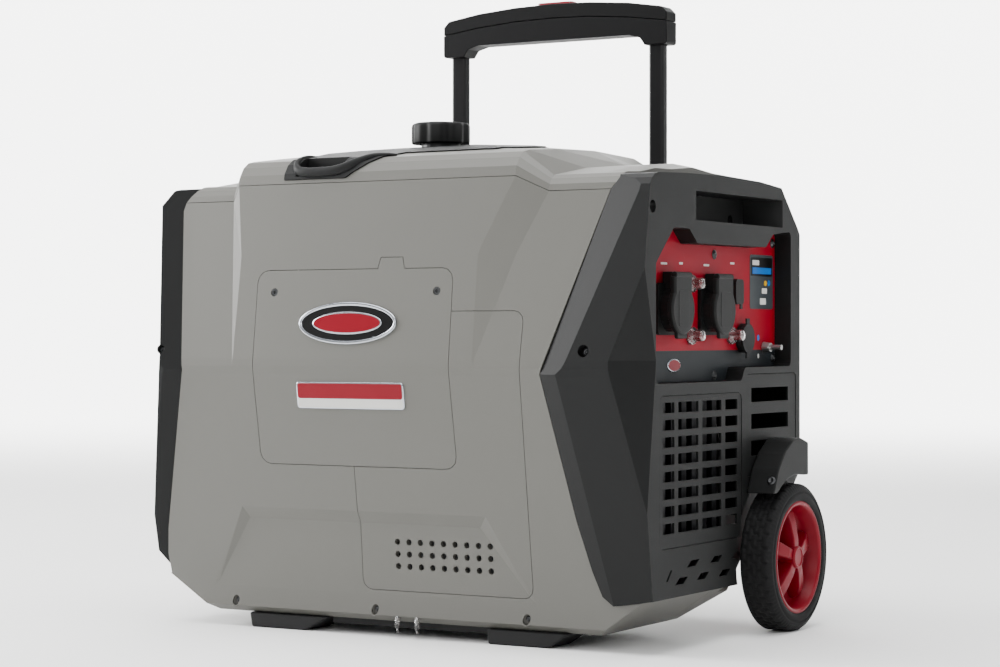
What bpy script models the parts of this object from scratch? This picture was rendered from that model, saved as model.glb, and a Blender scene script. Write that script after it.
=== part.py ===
"""Inverter generator: a wheeled, moulded suitcase body with a telescopic handle.

+X is the control-panel end, -Y the service side, +Y the handle and wheel side, +Z up.
The origin is on the floor, under the middle of the body. All sizes are in metres.
"""

import math

import bmesh
import bpy
from mathutils import Matrix, Vector

# ---------------------------------------------------------------- driving dimensions
HALF_LENGTH = 0.309         # middle of the body to each end face
FRONT_Y = -0.198            # front crease
BACK_Y = 0.190              # back face beside the raised band
BASE_Z = 0.0165             # underside of the body, which is the height of the feet
LOWER_HEIGHT = 0.2705       # underside to front crease
UPPER_HEIGHT = 0.180        # front crease to the seam beside the raised band
WALL = 0.003                # moulded wall
PROUD = 0.006               # end frames stand this far in front of the covers
SEAM = 0.0006               # gap between two covers
FIT = 0.0003                # gap between pieces that touch

UPPER_TILT = 0.1418         # the front leans in above the crease
LOWER_TILT = 0.137          # and below it
CREASE_SOFT = 0.008
LOW_EDGE = 0.007            # chamfer along the lower front edge
SIDE_RECESS = 0.005         # the front beside the band leans in by this much more
BAND_STEP = 0.0165          # seam height over the band, above the side seam
BAND_BACK = 0.015           # the band stands out at the back by this much
CREST_SIDE = 0.036          # top of the body above the side seam
CREST_BAND = 0.060
CREST_END = 0.0205
BAND_LEFT = -0.1995         # inner edges of the band at the seam
BAND_RIGHT = 0.1507
BAND_LEFT_RUN = 0.009       # width of the slope beside the band
BAND_RIGHT_RUN = 0.038
BACK_SHOULDER = 0.035       # the back face ends this far below the side seam
BACK_CHAMFER = 0.050
BACK_LOW_Z = 0.170          # the back face ends here, and the underside slopes up to it
SLOPE_START_Y = 0.020

WHEEL_RADIUS = 0.080
WHEEL_WIDTH = 0.040
WHEEL_Y = 0.112
WHEEL_INSET = 0.0045        # the inner side of the wheel, inside the end face
RIM_RADIUS = 0.060
AXLE_RADIUS = 0.006
WELL_DEPTH = 0.025
WELL_CLEARANCE = 0.010

HANDLE_HALF = 0.133         # middle of the body to the middle of each tube
HANDLE_Y = 0.188
TUBE_WIDE = 0.019
TUBE_DEEP = 0.0135
HANDLE_TOP = 0.710
HANDLE_TRAVEL = 0.160
GRIP_TALL = 0.043
GRIP_DEEP = 0.026
GRIP_OVERHANG = 0.017       # tube centre to the end of the grip bar

PANEL_DEPTH = 0.0195        # end face to the face of the control panel
PANEL_THICK = 0.003
PANEL_LEDGE = 0.008
SOCKET_PITCH = 0.099
SOCKET_SIZE = 0.053
CAP_RADIUS = 0.033
CAP_X = -0.045

DEEP = 0.4                  # cutters run this far each way, past the body
ROUND = 24                  # sides of a round piece
BIG_ROUND = 48

CREASE_Z = BASE_Z + LOWER_HEIGHT
SEAM_Z = CREASE_Z + UPPER_HEIGHT
TOP_Z = SEAM_Z + CREST_BAND
CORNER_Y = FRONT_Y + 0.033  # front edge of the end faces


# ---------------------------------------------------------------- materials
def material(name, colour, roughness, metallic=0.0):
    made = bpy.data.materials.get(name)
    if made is None:
        made = bpy.data.materials.new(name)
        made.use_nodes = True
        shader = made.node_tree.nodes["Principled BSDF"]
        linear = [(c / 255) ** 2.2 for c in colour]
        shader.inputs["Base Color"].default_value = (*linear, 1)
        shader.inputs["Roughness"].default_value = roughness
        shader.inputs["Metallic"].default_value = metallic
    return made


GREY_PLASTIC = ("grey_plastic", (140, 139, 133), 0.5)
BLACK_PLASTIC = ("black_plastic", (52, 54, 54), 0.5)
RED_PLASTIC = ("red_plastic", (185, 8, 30), 0.4)
PANEL_PLASTIC = ("panel_plastic", (150, 6, 26), 0.45)
CLEAR_RUBBER = ("clear_rubber", (205, 205, 200), 0.2)
RUBBER = ("rubber", (30, 30, 30), 0.8)
STEEL = ("zinc_plated_steel", (170, 170, 165), 0.35, 1.0)
BLACK_STEEL = ("black_painted_steel", (34, 34, 35), 0.4)
ALUMINIUM = ("cast_aluminium", (150, 152, 155), 0.5, 1.0)
COPPER = ("copper_winding", (170, 90, 50), 0.4, 1.0)


# ---------------------------------------------------------------- shapes
def add_object(name, bm, finish=None):
    """Faces outward, shaded smooth up to sharp edges, one mesh object."""
    bmesh.ops.recalc_face_normals(bm, faces=bm.faces)
    mesh = bpy.data.meshes.new(name)
    bm.to_mesh(mesh)
    bm.free()
    mesh.shade_smooth()
    mesh.set_sharp_from_angle(angle=math.radians(35))
    obj = bpy.data.objects.new(name, mesh)
    bpy.context.scene.collection.objects.link(obj)
    if finish:
        mesh.materials.append(material(*finish))
    return obj


def flat(face):
    """Whether the fourth corner lies in the plane of the other three."""
    a, b, c, d = [vertex.co for vertex in face.verts]
    normal = (b - a).cross(c - a)
    return normal.length < 1e-12 or abs(normal.normalized().dot(d - a)) < 1e-7


def loft(name, rings, finish=None):
    """A solid through rings with the same number of points each."""
    bm = bmesh.new()
    loops = [[bm.verts.new(point) for point in ring] for ring in rings]
    for first, second in zip(loops, loops[1:]):
        for i in range(len(first)):
            j = (i + 1) % len(first)
            bm.faces.new((first[i], first[j], second[j], second[i]))
    bmesh.ops.triangulate(bm, faces=[face for face in bm.faces if not flat(face)])
    bm.faces.new(loops[0])
    bm.faces.new(loops[-1])
    return add_object(name, bm, finish)


def on_axis(axis, a, b, along):
    """A point from two plane coordinates and one along the axis."""
    return Vector({"X": (along, a, b), "Y": (a, along, b), "Z": (a, b, along)}[axis])


def prism(name, outline, axis, low, high, finish=None):
    """X takes a (y, z) outline, Y an (x, z) one and Z an (x, y) one."""
    rings = [[on_axis(axis, a, b, along) for a, b in outline] for along in (low, high)]
    return loft(name, rings, finish)


def block(name, low, high, finish=None):
    outline = [(low[0], low[1]), (high[0], low[1]), (high[0], high[1]), (low[0], high[1])]
    return prism(name, outline, "Z", low[2], high[2], finish)


def turned(name, profile, axis, centre, steps=ROUND, finish=None):
    """A closed (radius, along) profile turned about an axis; radius 0 lies on the axis."""
    bm = bmesh.new()
    rings = []
    for i in range(steps):
        angle = 2 * math.pi * i / steps
        flat = (math.cos(angle), math.sin(angle))
        rings.append([
            bm.verts.new(centre + on_axis(axis, r * flat[0], r * flat[1], t)) for r, t in profile
        ])
    for i in range(steps):
        first = rings[i]
        second = rings[(i + 1) % steps]
        for j in range(len(profile)):
            k = (j + 1) % len(profile)
            if profile[j][0] or profile[k][0]:
                bm.faces.new((first[j], first[k], second[k], second[j]))
    bmesh.ops.remove_doubles(bm, verts=bm.verts, dist=1e-7)
    return add_object(name, bm, finish)


def disc(name, axis, centre, radius, low, high, steps=ROUND, finish=None):
    outline = [
        (radius * math.cos(2 * math.pi * i / steps), radius * math.sin(2 * math.pi * i / steps))
        for i in range(steps)
    ]
    rings = [[centre + on_axis(axis, a, b, t) for a, b in outline] for t in (low, high)]
    return loft(name, rings, finish)


def grown(outline, distance):
    """The outline with each side moved out by the distance, or in when it is negative."""
    count = len(outline)
    area = sum(
        outline[i][0] * outline[(i + 1) % count][1] - outline[(i + 1) % count][0] * outline[i][1]
        for i in range(count)
    )
    side = math.copysign(1, area)
    moved = []
    for i in range(count):
        before = Vector(outline[i - 1][:2])
        here = Vector(outline[i][:2])
        after = Vector(outline[(i + 1) % count][:2])
        first = (here - before).normalized()
        second = (after - here).normalized()
        out_first = Vector((first.y, -first.x)) * side
        out_second = Vector((second.y, -second.x)) * side
        bisector = (out_first + out_second).normalized()
        reach = distance / max(bisector.dot(out_first), 0.3)
        moved.append(tuple(here + bisector * reach))
    return moved


def rounded(outline, radius, steps=3):
    """The outline with each corner replaced by an arc."""
    count = len(outline)
    result = []
    for i in range(count):
        here = Vector(outline[i])
        before = (Vector(outline[i - 1]) - here).normalized()
        after = (Vector(outline[(i + 1) % count]) - here).normalized()
        half = before.angle(after) / 2
        run = radius / math.tan(half)
        centre = here + (before + after).normalized() * radius / math.sin(half)
        start = here + before * run - centre
        end = here + after * run - centre
        sweep = start.angle_signed(end)
        for k in range(steps + 1):
            angle = -sweep * k / steps
            turned_point = Vector((
                start.x * math.cos(angle) - start.y * math.sin(angle),
                start.x * math.sin(angle) + start.y * math.cos(angle),
            ))
            result.append(tuple(centre + turned_point))
    return result


def rectangle(a_low, b_low, a_high, b_high, radius=0.0, steps=3):
    corners = [(a_low, b_low), (a_high, b_low), (a_high, b_high), (a_low, b_high)]
    return rounded(corners, radius, steps) if radius else corners


def beyond(name, point, normal):
    """A large block that fills the space on the outer side of a plane."""
    side = Vector(normal).normalized()
    across = side.orthogonal().normalized()
    along = side.cross(across)
    rings = []
    for depth in (0, 1):
        centre = Vector(point) + side * depth
        rings.append([centre + across * a + along * b for a, b in ((-1, -1), (1, -1), (1, 1), (-1, 1))])
    return loft(name, rings)


# ---------------------------------------------------------------- assembly helpers
def carve(target, tool, operation="DIFFERENCE"):
    """Cuts, keeps or joins with the tool, which stays in the file as a hidden helper."""
    tool.hide_render = True
    tool.display_type = "WIRE"
    modifier = target.modifiers.new(tool.name, "BOOLEAN")
    modifier.operation = operation
    modifier.solver = "EXACT"
    modifier.object = tool
    return target


def pivot(obj, point):
    """Moves the object's origin to its joint's axis and leaves its shape in place."""
    obj.data.transform(Matrix.Translation(-Vector(point)))
    obj.location = point
    return obj


def hold(name, point, pieces):
    """An empty on a joint's axis, which carries the pieces that move together."""
    carrier = bpy.data.objects.new(name, None)
    bpy.context.scene.collection.objects.link(carrier)
    carrier.location = point
    for piece in pieces:
        piece.parent = carrier
        piece.location = piece.location - Vector(point)
    return carrier


# ---------------------------------------------------------------- body surfaces
def front_y(z):
    tilt = UPPER_TILT if z > CREASE_Z else LOWER_TILT
    return FRONT_Y + tilt * abs(z - CREASE_Z)


def section(seam_z, recess, shoulder, crest, back, back_top, proud=0.0):
    """The (y, z) section of the body from its lower front edge over the top to its underside."""
    def front(z):
        lean = recess * max(0.0, z - CREASE_Z) / UPPER_HEIGHT
        return (front_y(z) + lean - proud, z)

    seam = front(seam_z)
    arc = [math.radians(step) for step in (22.5, 45, 67.5, 90)]
    top_front = seam[0] + shoulder
    drop = crest - seam_z - shoulder
    return [
        (front(BASE_Z)[0] + 1.6 * LOW_EDGE, BASE_Z),
        front(BASE_Z + LOW_EDGE),
        front(CREASE_Z - CREASE_SOFT),
        (FRONT_Y - proud + 0.0004, CREASE_Z),
        front(CREASE_Z + CREASE_SOFT),
        front(CREASE_Z + 0.655 * UPPER_HEIGHT),
        seam,
        *((seam[0] + shoulder * (1 - math.cos(a)), seam_z + shoulder * math.sin(a)) for a in arc),
        (0.6 * top_front, crest - 0.45 * drop),
        (0.0, crest),
        (0.6 * (back - BACK_CHAMFER), crest - 0.35 * drop),
        (back - BACK_CHAMFER, back_top + BACK_CHAMFER),
        (back - 0.0045, back_top + 0.006),
        (back, back_top),
        (back, BACK_LOW_Z),
        (SLOPE_START_Y, BASE_Z),
    ]


def body_section(raised, dome=0.0):
    """The covers' section: raised is 1 on the middle band and 0 beside it."""
    return section(
        seam_z=SEAM_Z + BAND_STEP * raised,
        recess=SIDE_RECESS * (1 - raised),
        shoulder=0.0185 + 0.010 * raised,
        crest=SEAM_Z + CREST_SIDE + (CREST_BAND - CREST_SIDE) * raised + dome,
        back=BACK_Y + BAND_BACK * raised,
        back_top=SEAM_Z - BACK_SHOULDER + BAND_STEP * raised,
    )


def end_section(proud, recess):
    """The end frames' section, lower over the top than the covers."""
    return section(
        seam_z=SEAM_Z - 0.004,
        recess=recess,
        shoulder=0.020,
        crest=SEAM_Z + CREST_END,
        back=BACK_Y,
        back_top=SEAM_Z - BACK_SHOULDER,
        proud=proud,
    )


def placed(outline, x_low, x_middle=None, x_seam=None):
    """A section in space. Its x may differ below the crease, part way up and from the seam."""
    x_middle = x_low if x_middle is None else x_middle
    x_seam = x_low if x_seam is None else x_seam
    xs = [x_low] * 5 + [x_middle] + [x_seam] * (len(outline) - 6)
    return [Vector((x, y, z)) for x, (y, z) in zip(xs, outline)]


def dome(x):
    """The band's top is highest near the fuel cap."""
    return 0.005 - 0.31 * (x - CAP_X) ** 2


def body_rings(shift, inset):
    """The covers' surface, moved out by the shift, from end to end."""
    def ring(raised, x_low, x_middle=None, x_seam=None, low=0.0):
        top = x_low if x_seam is None else x_seam
        rise = dome(top) * raised - low
        return placed(grown(body_section(raised, rise), shift), x_low, x_middle, x_seam)

    end = HALF_LENGTH - inset
    left = BAND_LEFT
    right = BAND_RIGHT
    return [
        ring(0, -end, low=0.012),
        ring(0, -0.245),
        ring(0, left + 0.010, left - 0.003, left - BAND_LEFT_RUN),
        ring(1, left + 0.011, left + 0.0115, left),
        ring(1, -0.100),
        ring(1, 0.000),
        ring(1, 0.075),
        ring(1, right - 0.036, right - 0.0385, right),
        ring(0, right - 0.034, right + 0.006, right + BAND_RIGHT_RUN),
        ring(0, 0.245),
        ring(0, end, low=0.012),
    ]


def between_corners(name, inset):
    """All that lies above the slopes that cut off the lower corners of the covers."""
    low, high = HALF_LENGTH - 0.069 - inset / 2, HALF_LENGTH - 0.011
    rise = BASE_Z + 0.0395 + inset
    floor = BASE_Z + inset
    outline = [(-low, floor - 0.01), (low, floor - 0.01), (low, floor), (high, rise),
               (DEEP, rise), (DEEP, DEEP * 2), (-DEEP, DEEP * 2), (-DEEP, rise),
               (-high, rise), (-low, floor)]
    return prism(name, outline, "Y", -DEEP, DEEP)


def cover_hull(name, finish=None):
    """The outer surface of the covers as one solid, with its lower corners cut off."""
    hull = loft(name, body_rings(0.0, 0.007), finish)
    return carve(hull, between_corners(name + "_corners", 0.0), "INTERSECT")


def frame_hull(name, finish):
    outline = end_section(PROUD, 0.0)
    return loft(name, [placed(outline, -HALF_LENGTH), placed(outline, HALF_LENGTH)], finish)


def interior(name, solids=()):
    """The hollow inside the body, less the solids that stand into it."""
    inner_end = grown(end_section(0.0, SIDE_RECESS), -WALL)
    rings = body_rings(-WALL, 0.0)[2:9]
    side = grown(body_section(0), -WALL)
    end = HALF_LENGTH - WALL
    rings = [
        placed(inner_end, -end),
        placed(inner_end, -END_STEP),
        placed(side, -END_STEP + 0.004),
        *rings,
        placed(side, END_STEP - 0.004),
        placed(inner_end, END_STEP),
        placed(inner_end, end),
    ]
    hollow = loft(name, rings)
    carve(hollow, between_corners(name + "_corners", WALL), "INTERSECT")
    for solid in solids:
        carve(hollow, solid)
    return hollow


# ---------------------------------------------------------------- where the covers meet
END_STEP = HALF_LENGTH - 0.047
# (inset from the end face, height from the crease) along each end frame's front edge
CONTROL_EDGE = [
    (0.039, 0.300), (0.039, 0.192), (0.049, 0.180), (0.1145, -0.006), (0.083, -0.153),
    (0.0685, -0.204), (0.058, -0.229), (0.0448, -0.2377), (-0.020, -0.2277),
]
EXHAUST_EDGE = [
    (0.0486, 0.300), (0.0486, 0.1968), (0.0348, 0.1807), (0.0319, 0.171), (0.0515, -0.004),
    (0.0136, -0.182), (0.0106, -0.210), (0.0132, -0.2312), (-0.020, -0.2312),
]
# the slopes that take off the exhaust end's top and bottom corners: (inset, height) twice
EXHAUST_SLOPES = (
    ((0.0, SEAM_Z - 0.012), (0.026, SEAM_Z + 0.023)),
    ((0.0, BASE_Z + 0.0635), (0.019, BASE_Z + 0.0393)),
)
STRIP = 0.021               # width of the sloped strip along the end frames' front edge
# (height over the seam, x) of the seam between the top cover and the others
TOP_SEAM = [
    (-0.400, 0.0), (BAND_LEFT - BAND_LEFT_RUN, 0.0), (BAND_LEFT, BAND_STEP),
    (BAND_RIGHT, BAND_STEP), (BAND_RIGHT + BAND_RIGHT_RUN, 0.0), (0.400, 0.0),
]


def edge_outline(edge, side):
    """The front-view outline of all that lies past an end frame's edge."""
    points = [(side * (HALF_LENGTH - inset), CREASE_Z + rise) for inset, rise in edge]
    far = side * (HALF_LENGTH + 0.020)
    return [*points, (far, points[0][1])]


def end_region(name, edge, side, gap=0.0):
    return prism(name, grown(edge_outline(edge, side), gap), "Y", -DEEP, DEEP)


def above_seam(name, gap=0.0):
    points = [(x, SEAM_Z + rise) for x, rise in TOP_SEAM]
    outline = [*points, (points[-1][0], SEAM_Z + 0.2), (points[0][0], SEAM_Z + 0.2)]
    return prism(name, grown(outline, gap), "Y", -DEEP, DEEP)


def front_prism(name, outline, gap=0.0):
    """A cutter through the front only."""
    return prism(name, grown(outline, gap), "Y", -DEEP, 0.0)


SERVICE_TOP = CREASE_Z + 0.103
SERVICE_LOW = CREASE_Z - 0.105
SERVICE_OUTLINE = [
    *rounded([(-0.163, SERVICE_TOP), (-0.159, SERVICE_LOW), (0.089, SERVICE_LOW),
              (0.084, SERVICE_TOP)], 0.013),
    (0.024, SERVICE_TOP), (0.021, SERVICE_TOP + 0.012), (-0.006, SERVICE_TOP + 0.012),
    (-0.009, SERVICE_TOP),
]
VENT_OUTLINE = rounded([
    (-0.0387, CREASE_Z - 0.080), (-0.0387, CREASE_Z - 0.236), (0.1694, CREASE_Z - 0.236),
    (0.1708, CREASE_Z + 0.058), (0.060, CREASE_Z + 0.058),
], 0.011)
TRAY_OUTLINE = [
    (-0.139, SEAM_Z + 0.0215), (-0.060, SEAM_Z + 0.0215), (-0.036, SEAM_Z + 0.0365),
    (-0.012, SEAM_Z + 0.0500), (0.085, SEAM_Z + 0.0520), (0.098, SEAM_Z + 0.0700),
    (0.098, SEAM_Z + 0.1200), (-0.139, SEAM_Z + 0.1200),
]
SCOOP = ((-0.124, -0.300, SEAM_Z + 0.0245), (-0.066, FRONT_Y + 0.052, SEAM_Z + 0.0465))

PRESSED_TOP = CREASE_Z - 0.153
PRESSED_LOW = BASE_Z + 0.029
PRESSED_STEP = 0.0125
PRESSED_DEPTH = 0.0045
PRESSED_TOP_X = (-0.190, 0.119)
PRESSED_LOW_X = (-0.236, 0.174)


def pressed_field(name):
    """The shallow field in the lower front: deepest along its top, fading out downwards."""
    def ring(top_z, low_z, top_x, low_x, depths):
        return [
            Vector((top_x[0], front_y(top_z) + depths[0], top_z)),
            Vector((top_x[1], front_y(top_z) + depths[0], top_z)),
            Vector((low_x[1], front_y(low_z) + depths[1], low_z)),
            Vector((low_x[0], front_y(low_z) + depths[1], low_z)),
        ]

    floor_x = (PRESSED_TOP_X[0] + 0.006, PRESSED_TOP_X[1] - 0.010)
    return loft(name, [
        ring(PRESSED_TOP, PRESSED_LOW, PRESSED_TOP_X, PRESSED_LOW_X, (-0.05, -0.05)),
        ring(PRESSED_TOP, PRESSED_LOW, PRESSED_TOP_X, PRESSED_LOW_X, (0.0, 0.0)),
        ring(PRESSED_TOP - PRESSED_STEP, PRESSED_LOW + 0.004, floor_x,
             (PRESSED_LOW_X[0] + 0.006, PRESSED_LOW_X[1] - 0.006), (PRESSED_DEPTH, 0.0003)),
    ])


# ---------------------------------------------------------------- recesses in the end faces
PANEL_X = HALF_LENGTH - PANEL_DEPTH             # face of the control panel
PANEL_LEFT = CORNER_Y
PANEL_RIGHT = BACK_Y - 0.025
PANEL_LOW = CREASE_Z - 0.015
PANEL_HIGH = CREASE_Z + 0.1421
PANEL_CORNERS = [
    (PANEL_LEFT, PANEL_LOW), (0.036, PANEL_LOW), (0.044, PANEL_LOW + 0.0141),
    (PANEL_RIGHT, PANEL_LOW + 0.0141), (PANEL_RIGHT, PANEL_HIGH + 0.006),
    (0.117, PANEL_HIGH + 0.001), (0.0986, PANEL_HIGH - 0.0133), (-0.0707, PANEL_HIGH - 0.0143),
    (-0.0898, PANEL_HIGH), (-0.125, PANEL_HIGH), (PANEL_LEFT, PANEL_HIGH - 0.037),
]
PANEL_OUTLINE = rounded(PANEL_CORNERS, 0.0060, 3)
GRIP_LOW = PANEL_HIGH + 0.0095
GRIP_HIGH = GRIP_LOW + 0.030
GRIP_DEPTH = {1: 0.040, -1: 0.028}              # control end and exhaust end
GRIP_Y = (-0.088, -0.020, 0.125, 0.147)         # mouth and floor, floor and mouth
GRILLE_OUTLINE = rectangle(-0.158, CREASE_Z - 0.181, 0.0366, CREASE_Z - 0.027, 0.008, 2)
LOUVRE_OUTLINE = rectangle(0.0475, CREASE_Z - 0.118, 0.179, CREASE_Z - 0.008, 0.006, 2)
EXHAUST_OUTLINE = rectangle(-0.135, CREASE_Z - 0.165, 0.020, CREASE_Z + 0.035, 0.012, 2)
SLOT_TALL = 0.0065
SLOT_SLANT = 0.010
SLOTS = [(-0.081, -0.1995, 0.029), (-0.0264, -0.1995, 0.029), (0.0243, -0.1995, 0.029),
         (-0.135, -0.2087, 0.008), (-0.1079, -0.2153, 0.029), (-0.0581, -0.2144, 0.029),
         (-0.0065, -0.2154, 0.029)]


def well(name, side, gap=0.0):
    """The space cut out of the body around a wheel."""
    centre = Vector((0, WHEEL_Y, WHEEL_RADIUS))
    inner = side * (HALF_LENGTH - WELL_DEPTH - gap)
    radius = WHEEL_RADIUS + WELL_CLEARANCE + gap
    return disc(name, "X", centre, radius, inner, side * (HALF_LENGTH + 0.05), 32)


def notch(name, planes, depth):
    """What lies outside both planes: the scoop in the corner between the front and an end face."""
    tools = [
        beyond(f"{name}_{number}", point - normal.normalized() * depth, normal)
        for number, (point, normal) in enumerate(planes)
    ]
    return carve(tools[0], tools[1], "INTERSECT")


def end_frame(name, edge, side, recesses, solids, facets, ends=()):
    """An end frame: its share of the outer surface, hollowed, with its recesses cut.
    Each of ends slopes off the end face, from (inset, height) to (inset, height)."""
    frame = frame_hull(name, BLACK_PLASTIC)
    carve(frame, end_region(name + "_region", edge, side), "INTERSECT")
    apex = 3 if side > 0 else 4
    planes = []
    for other in (apex - 1, apex + 1):
        first, second = [
            Vector((side * (HALF_LENGTH - inset), front_y(CREASE_Z + rise), CREASE_Z + rise))
            for inset, rise in (edge[apex], edge[other])
        ]
        second.y += SIDE_RECESS * max(0.0, second.z - CREASE_Z) / UPPER_HEIGHT
        inner = first + Vector((side * STRIP, -PROUD, 0))
        normal = (second - first).cross(inner - first)
        planes.append((first, normal * -math.copysign(1, normal.y)))
    for (inset, height), (far_inset, far_height) in ends:
        across, along = height - far_height, far_inset - inset
        normal = Vector((side * abs(across), 0, math.copysign(along, far_height - height)))
        planes.append((Vector((side * (HALF_LENGTH - inset), 0, height)), normal))
    linings = []
    for number, (point, normal) in enumerate(planes):
        carve(frame, beyond(f"{name}_strip_{number}", point, normal))
        inward = point - normal.normalized() * WALL
        linings.append(beyond(f"{name}_strip_lining_{number}", inward, normal))
    corner_planes = []
    for start, level, corner, face in facets:
        points = [
            Vector((side * (HALF_LENGTH - start), FRONT_Y - PROUD, CREASE_Z + level)),
            Vector((side * HALF_LENGTH, CORNER_Y, CREASE_Z + level)),
            Vector((side * (HALF_LENGTH - corner), front_y(CREASE_Z + face) - PROUD, CREASE_Z + face)),
        ]
        normal = (points[1] - points[0]).cross(points[2] - points[0])
        corner_planes.append((points[0], normal * math.copysign(1, normal.x * side)))
    carve(frame, notch(name + "_corner", corner_planes, 0.0))
    linings.append(notch(name + "_corner_lining", corner_planes, WALL))
    carve(frame, interior(name + "_hollow", [*linings, *solids]))
    for recess in recesses:
        carve(frame, recess)
    carve(frame, well(name + "_well", side))
    return frame


def wall_of_well(name, side):
    return well(name, side, WALL)


# ---------------------------------------------------------------- covers
def cover(name, front_side, hollow_solids, cuts):
    """One half of the body between the end frames, below the top cover."""
    shell = cover_hull(name, GREY_PLASTIC)
    low, high = (-DEEP, -SEAM / 2) if front_side else (SEAM / 2, DEEP)
    carve(shell, block(name + "_half", (-DEEP, low, 0), (DEEP, high, 2 * SEAM_Z)), "INTERSECT")
    carve(shell, interior(name + "_hollow", hollow_solids))
    carve(shell, end_region(name + "_control_end", CONTROL_EDGE, 1, SEAM))
    carve(shell, end_region(name + "_exhaust_end", EXHAUST_EDGE, -1, SEAM))
    carve(shell, above_seam(name + "_top"))
    for side, end in ((1, "control"), (-1, "exhaust")):
        carve(shell, well(f"{name}_{end}_well", side))
    for cut in cuts:
        carve(shell, cut)
    return shell


def tube_holes():
    """Holes in the shoulder of the back for the handle tubes."""
    cuts = []
    for side, name in ((1, "right"), (-1, "left")):
        half = TUBE_WIDE / 2 + TUBE_GAP
        deep = TUBE_DEEP / 2 + TUBE_GAP
        x = side * HANDLE_HALF
        cuts.append(block("tube_hole_" + name, (x - half, HANDLE_Y - deep, SEAM_Z - 0.03),
                          (x + half, HANDLE_Y + deep, TOP_Z)))
    return cuts


def control_holes():
    """Holes in the back for the starter rope and the shaft of the engine control."""
    return [
        disc("rope_hole", "Y", RECOIL_EXIT, ROPE_RADIUS + 0.002, -0.03, 0.03, 12),
        disc("control_hole", "Y", KNOB_CENTRE, KNOB_SHAFT + FIT, -0.03, 0.03, 12),
    ]


TUBE_GAP = 0.0005
ROPE_RADIUS = 0.0025
KNOB_SHAFT = 0.004
CRANK_X = 0.020
CRANK_Z = BASE_Z + 0.222
BAND_FACE_Y = BACK_Y + BAND_BACK
POCKET_DEPTH = 0.013        # the recess in the back for the starter grip and the engine control
POCKET_Y = BAND_FACE_Y - POCKET_DEPTH
RECOIL_EXIT = Vector((CRANK_X, POCKET_Y, CREASE_Z + 0.045))
KNOB_CENTRE = Vector((0.058 - HANDLE_HALF, POCKET_Y, CREASE_Z + 0.045))


def back_pocket(name, gap=0.0):
    low = (KNOB_CENTRE.x - 0.030 - gap, POCKET_Y - gap, CREASE_Z + 0.015 - gap)
    high = (RECOIL_EXIT.x + 0.055 + gap, BAND_FACE_Y + 0.01, CREASE_Z + 0.075 + gap)
    return block(name, low, high)


def pressed_backing(name):
    """Keeps the wall whole behind the shallow field in the lower front."""
    return block(name, (PRESSED_LOW_X[0] - WALL, -DEEP, PRESSED_LOW - 0.006),
                 (PRESSED_LOW_X[1] + WALL, front_y(PRESSED_LOW) + WALL, PRESSED_TOP + WALL))


def make_covers():
    front = cover("front_cover", True, [pressed_backing("front_cover_backing")], [])
    carve(front, front_prism("front_cover_service_hole", SERVICE_OUTLINE, SEAM))
    carve(front, front_prism("front_cover_vent_hole", VENT_OUTLINE, SEAM))
    carve(front, pressed_field("front_cover_field"))
    cover("back_cover", False, [back_pocket("back_pocket_wall", WALL)],
          [back_pocket("back_pocket"), *tube_holes(), *control_holes()])
    make_top_cover()
    make_top_tray()
    make_service_cover()
    make_vent_panel()


def tray_region(name, gap=0.0):
    """Where the black tray shows: over the top, and down the front at the hand hold."""
    region = prism(name, grown(TRAY_OUTLINE, gap), "Y", -DEEP, 0.0)
    low = TRAY_OUTLINE[4][1] - gap
    back = block(name + "_back", (TRAY_OUTLINE[0][0] - gap, -0.01, low),
                 (TRAY_OUTLINE[4][0] + gap, 0.115 + gap, TRAY_OUTLINE[6][1] + gap))
    return carve(region, back, "UNION")


def make_top_cover():
    top = cover_hull("top_cover", GREY_PLASTIC)
    carve(top, above_seam("top_cover_region", -SEAM), "INTERSECT")
    carve(top, interior("top_cover_hollow"))
    carve(top, end_region("top_cover_control_end", CONTROL_EDGE, 1, SEAM))
    carve(top, end_region("top_cover_exhaust_end", EXHAUST_EDGE, -1, SEAM))
    carve(top, tray_region("top_cover_tray", SEAM))
    for cut in tube_holes():
        carve(top, cut)


def make_top_tray():
    rings = body_rings(0.0015, 0.0)[3:8]
    tray = loft("top_tray", rings, BLACK_PLASTIC)
    carve(tray, tray_region("top_tray_region"), "INTERSECT")
    low, high = SCOOP
    collar = block("top_tray_collar", [low[0] - WALL, -DEEP, low[2] - WALL],
                   [high[0] + WALL, high[1] + WALL, TOP_Z])
    carve(tray, interior("top_tray_hollow", [collar]))
    carve(tray, block("top_tray_scoop", low, high))
    carve(tray, disc("top_tray_filler_hole", "Z", Vector((CAP_X, 0, 0)), NECK_RADIUS + 0.001,
                     SEAM_Z, TOP_Z + 0.02))


NECK_RADIUS = 0.022
SCREW_RADIUS = 0.0042
SERVICE_SCREWS = ((-0.140, CREASE_Z + 0.0795), (0.066, CREASE_Z + 0.0792))


def make_service_cover():
    """The removable cover over the service side. It tilts out on the tabs along its low edge."""
    cover_plate = cover_hull("service_cover", GREY_PLASTIC)
    carve(cover_plate, front_prism("service_cover_region", SERVICE_OUTLINE), "INTERSECT")
    carve(cover_plate, interior("service_cover_hollow"))
    pieces = [cover_plate]
    for name, (x, z) in zip(("left", "right"), SERVICE_SCREWS):
        centre = Vector((x, front_y(z), z))
        hole = disc("service_screw_hole_" + name, "Y", centre, SCREW_RADIUS + FIT, -0.01, 0.01, 16)
        carve(cover_plate, hole)
        profile = [(0.0, 0.0018), (SCREW_RADIUS * 0.45, 0.0018), (SCREW_RADIUS * 0.45, 0.0004),
                   (SCREW_RADIUS, 0.0004), (SCREW_RADIUS, 0.0030), (0.0, 0.0030)]
        pieces.append(turned("service_screw_" + name, profile, "Y", centre, 16, STEEL))
    hold("service_cover_tilt", (0, front_y(SERVICE_LOW), SERVICE_LOW), pieces)


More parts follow.
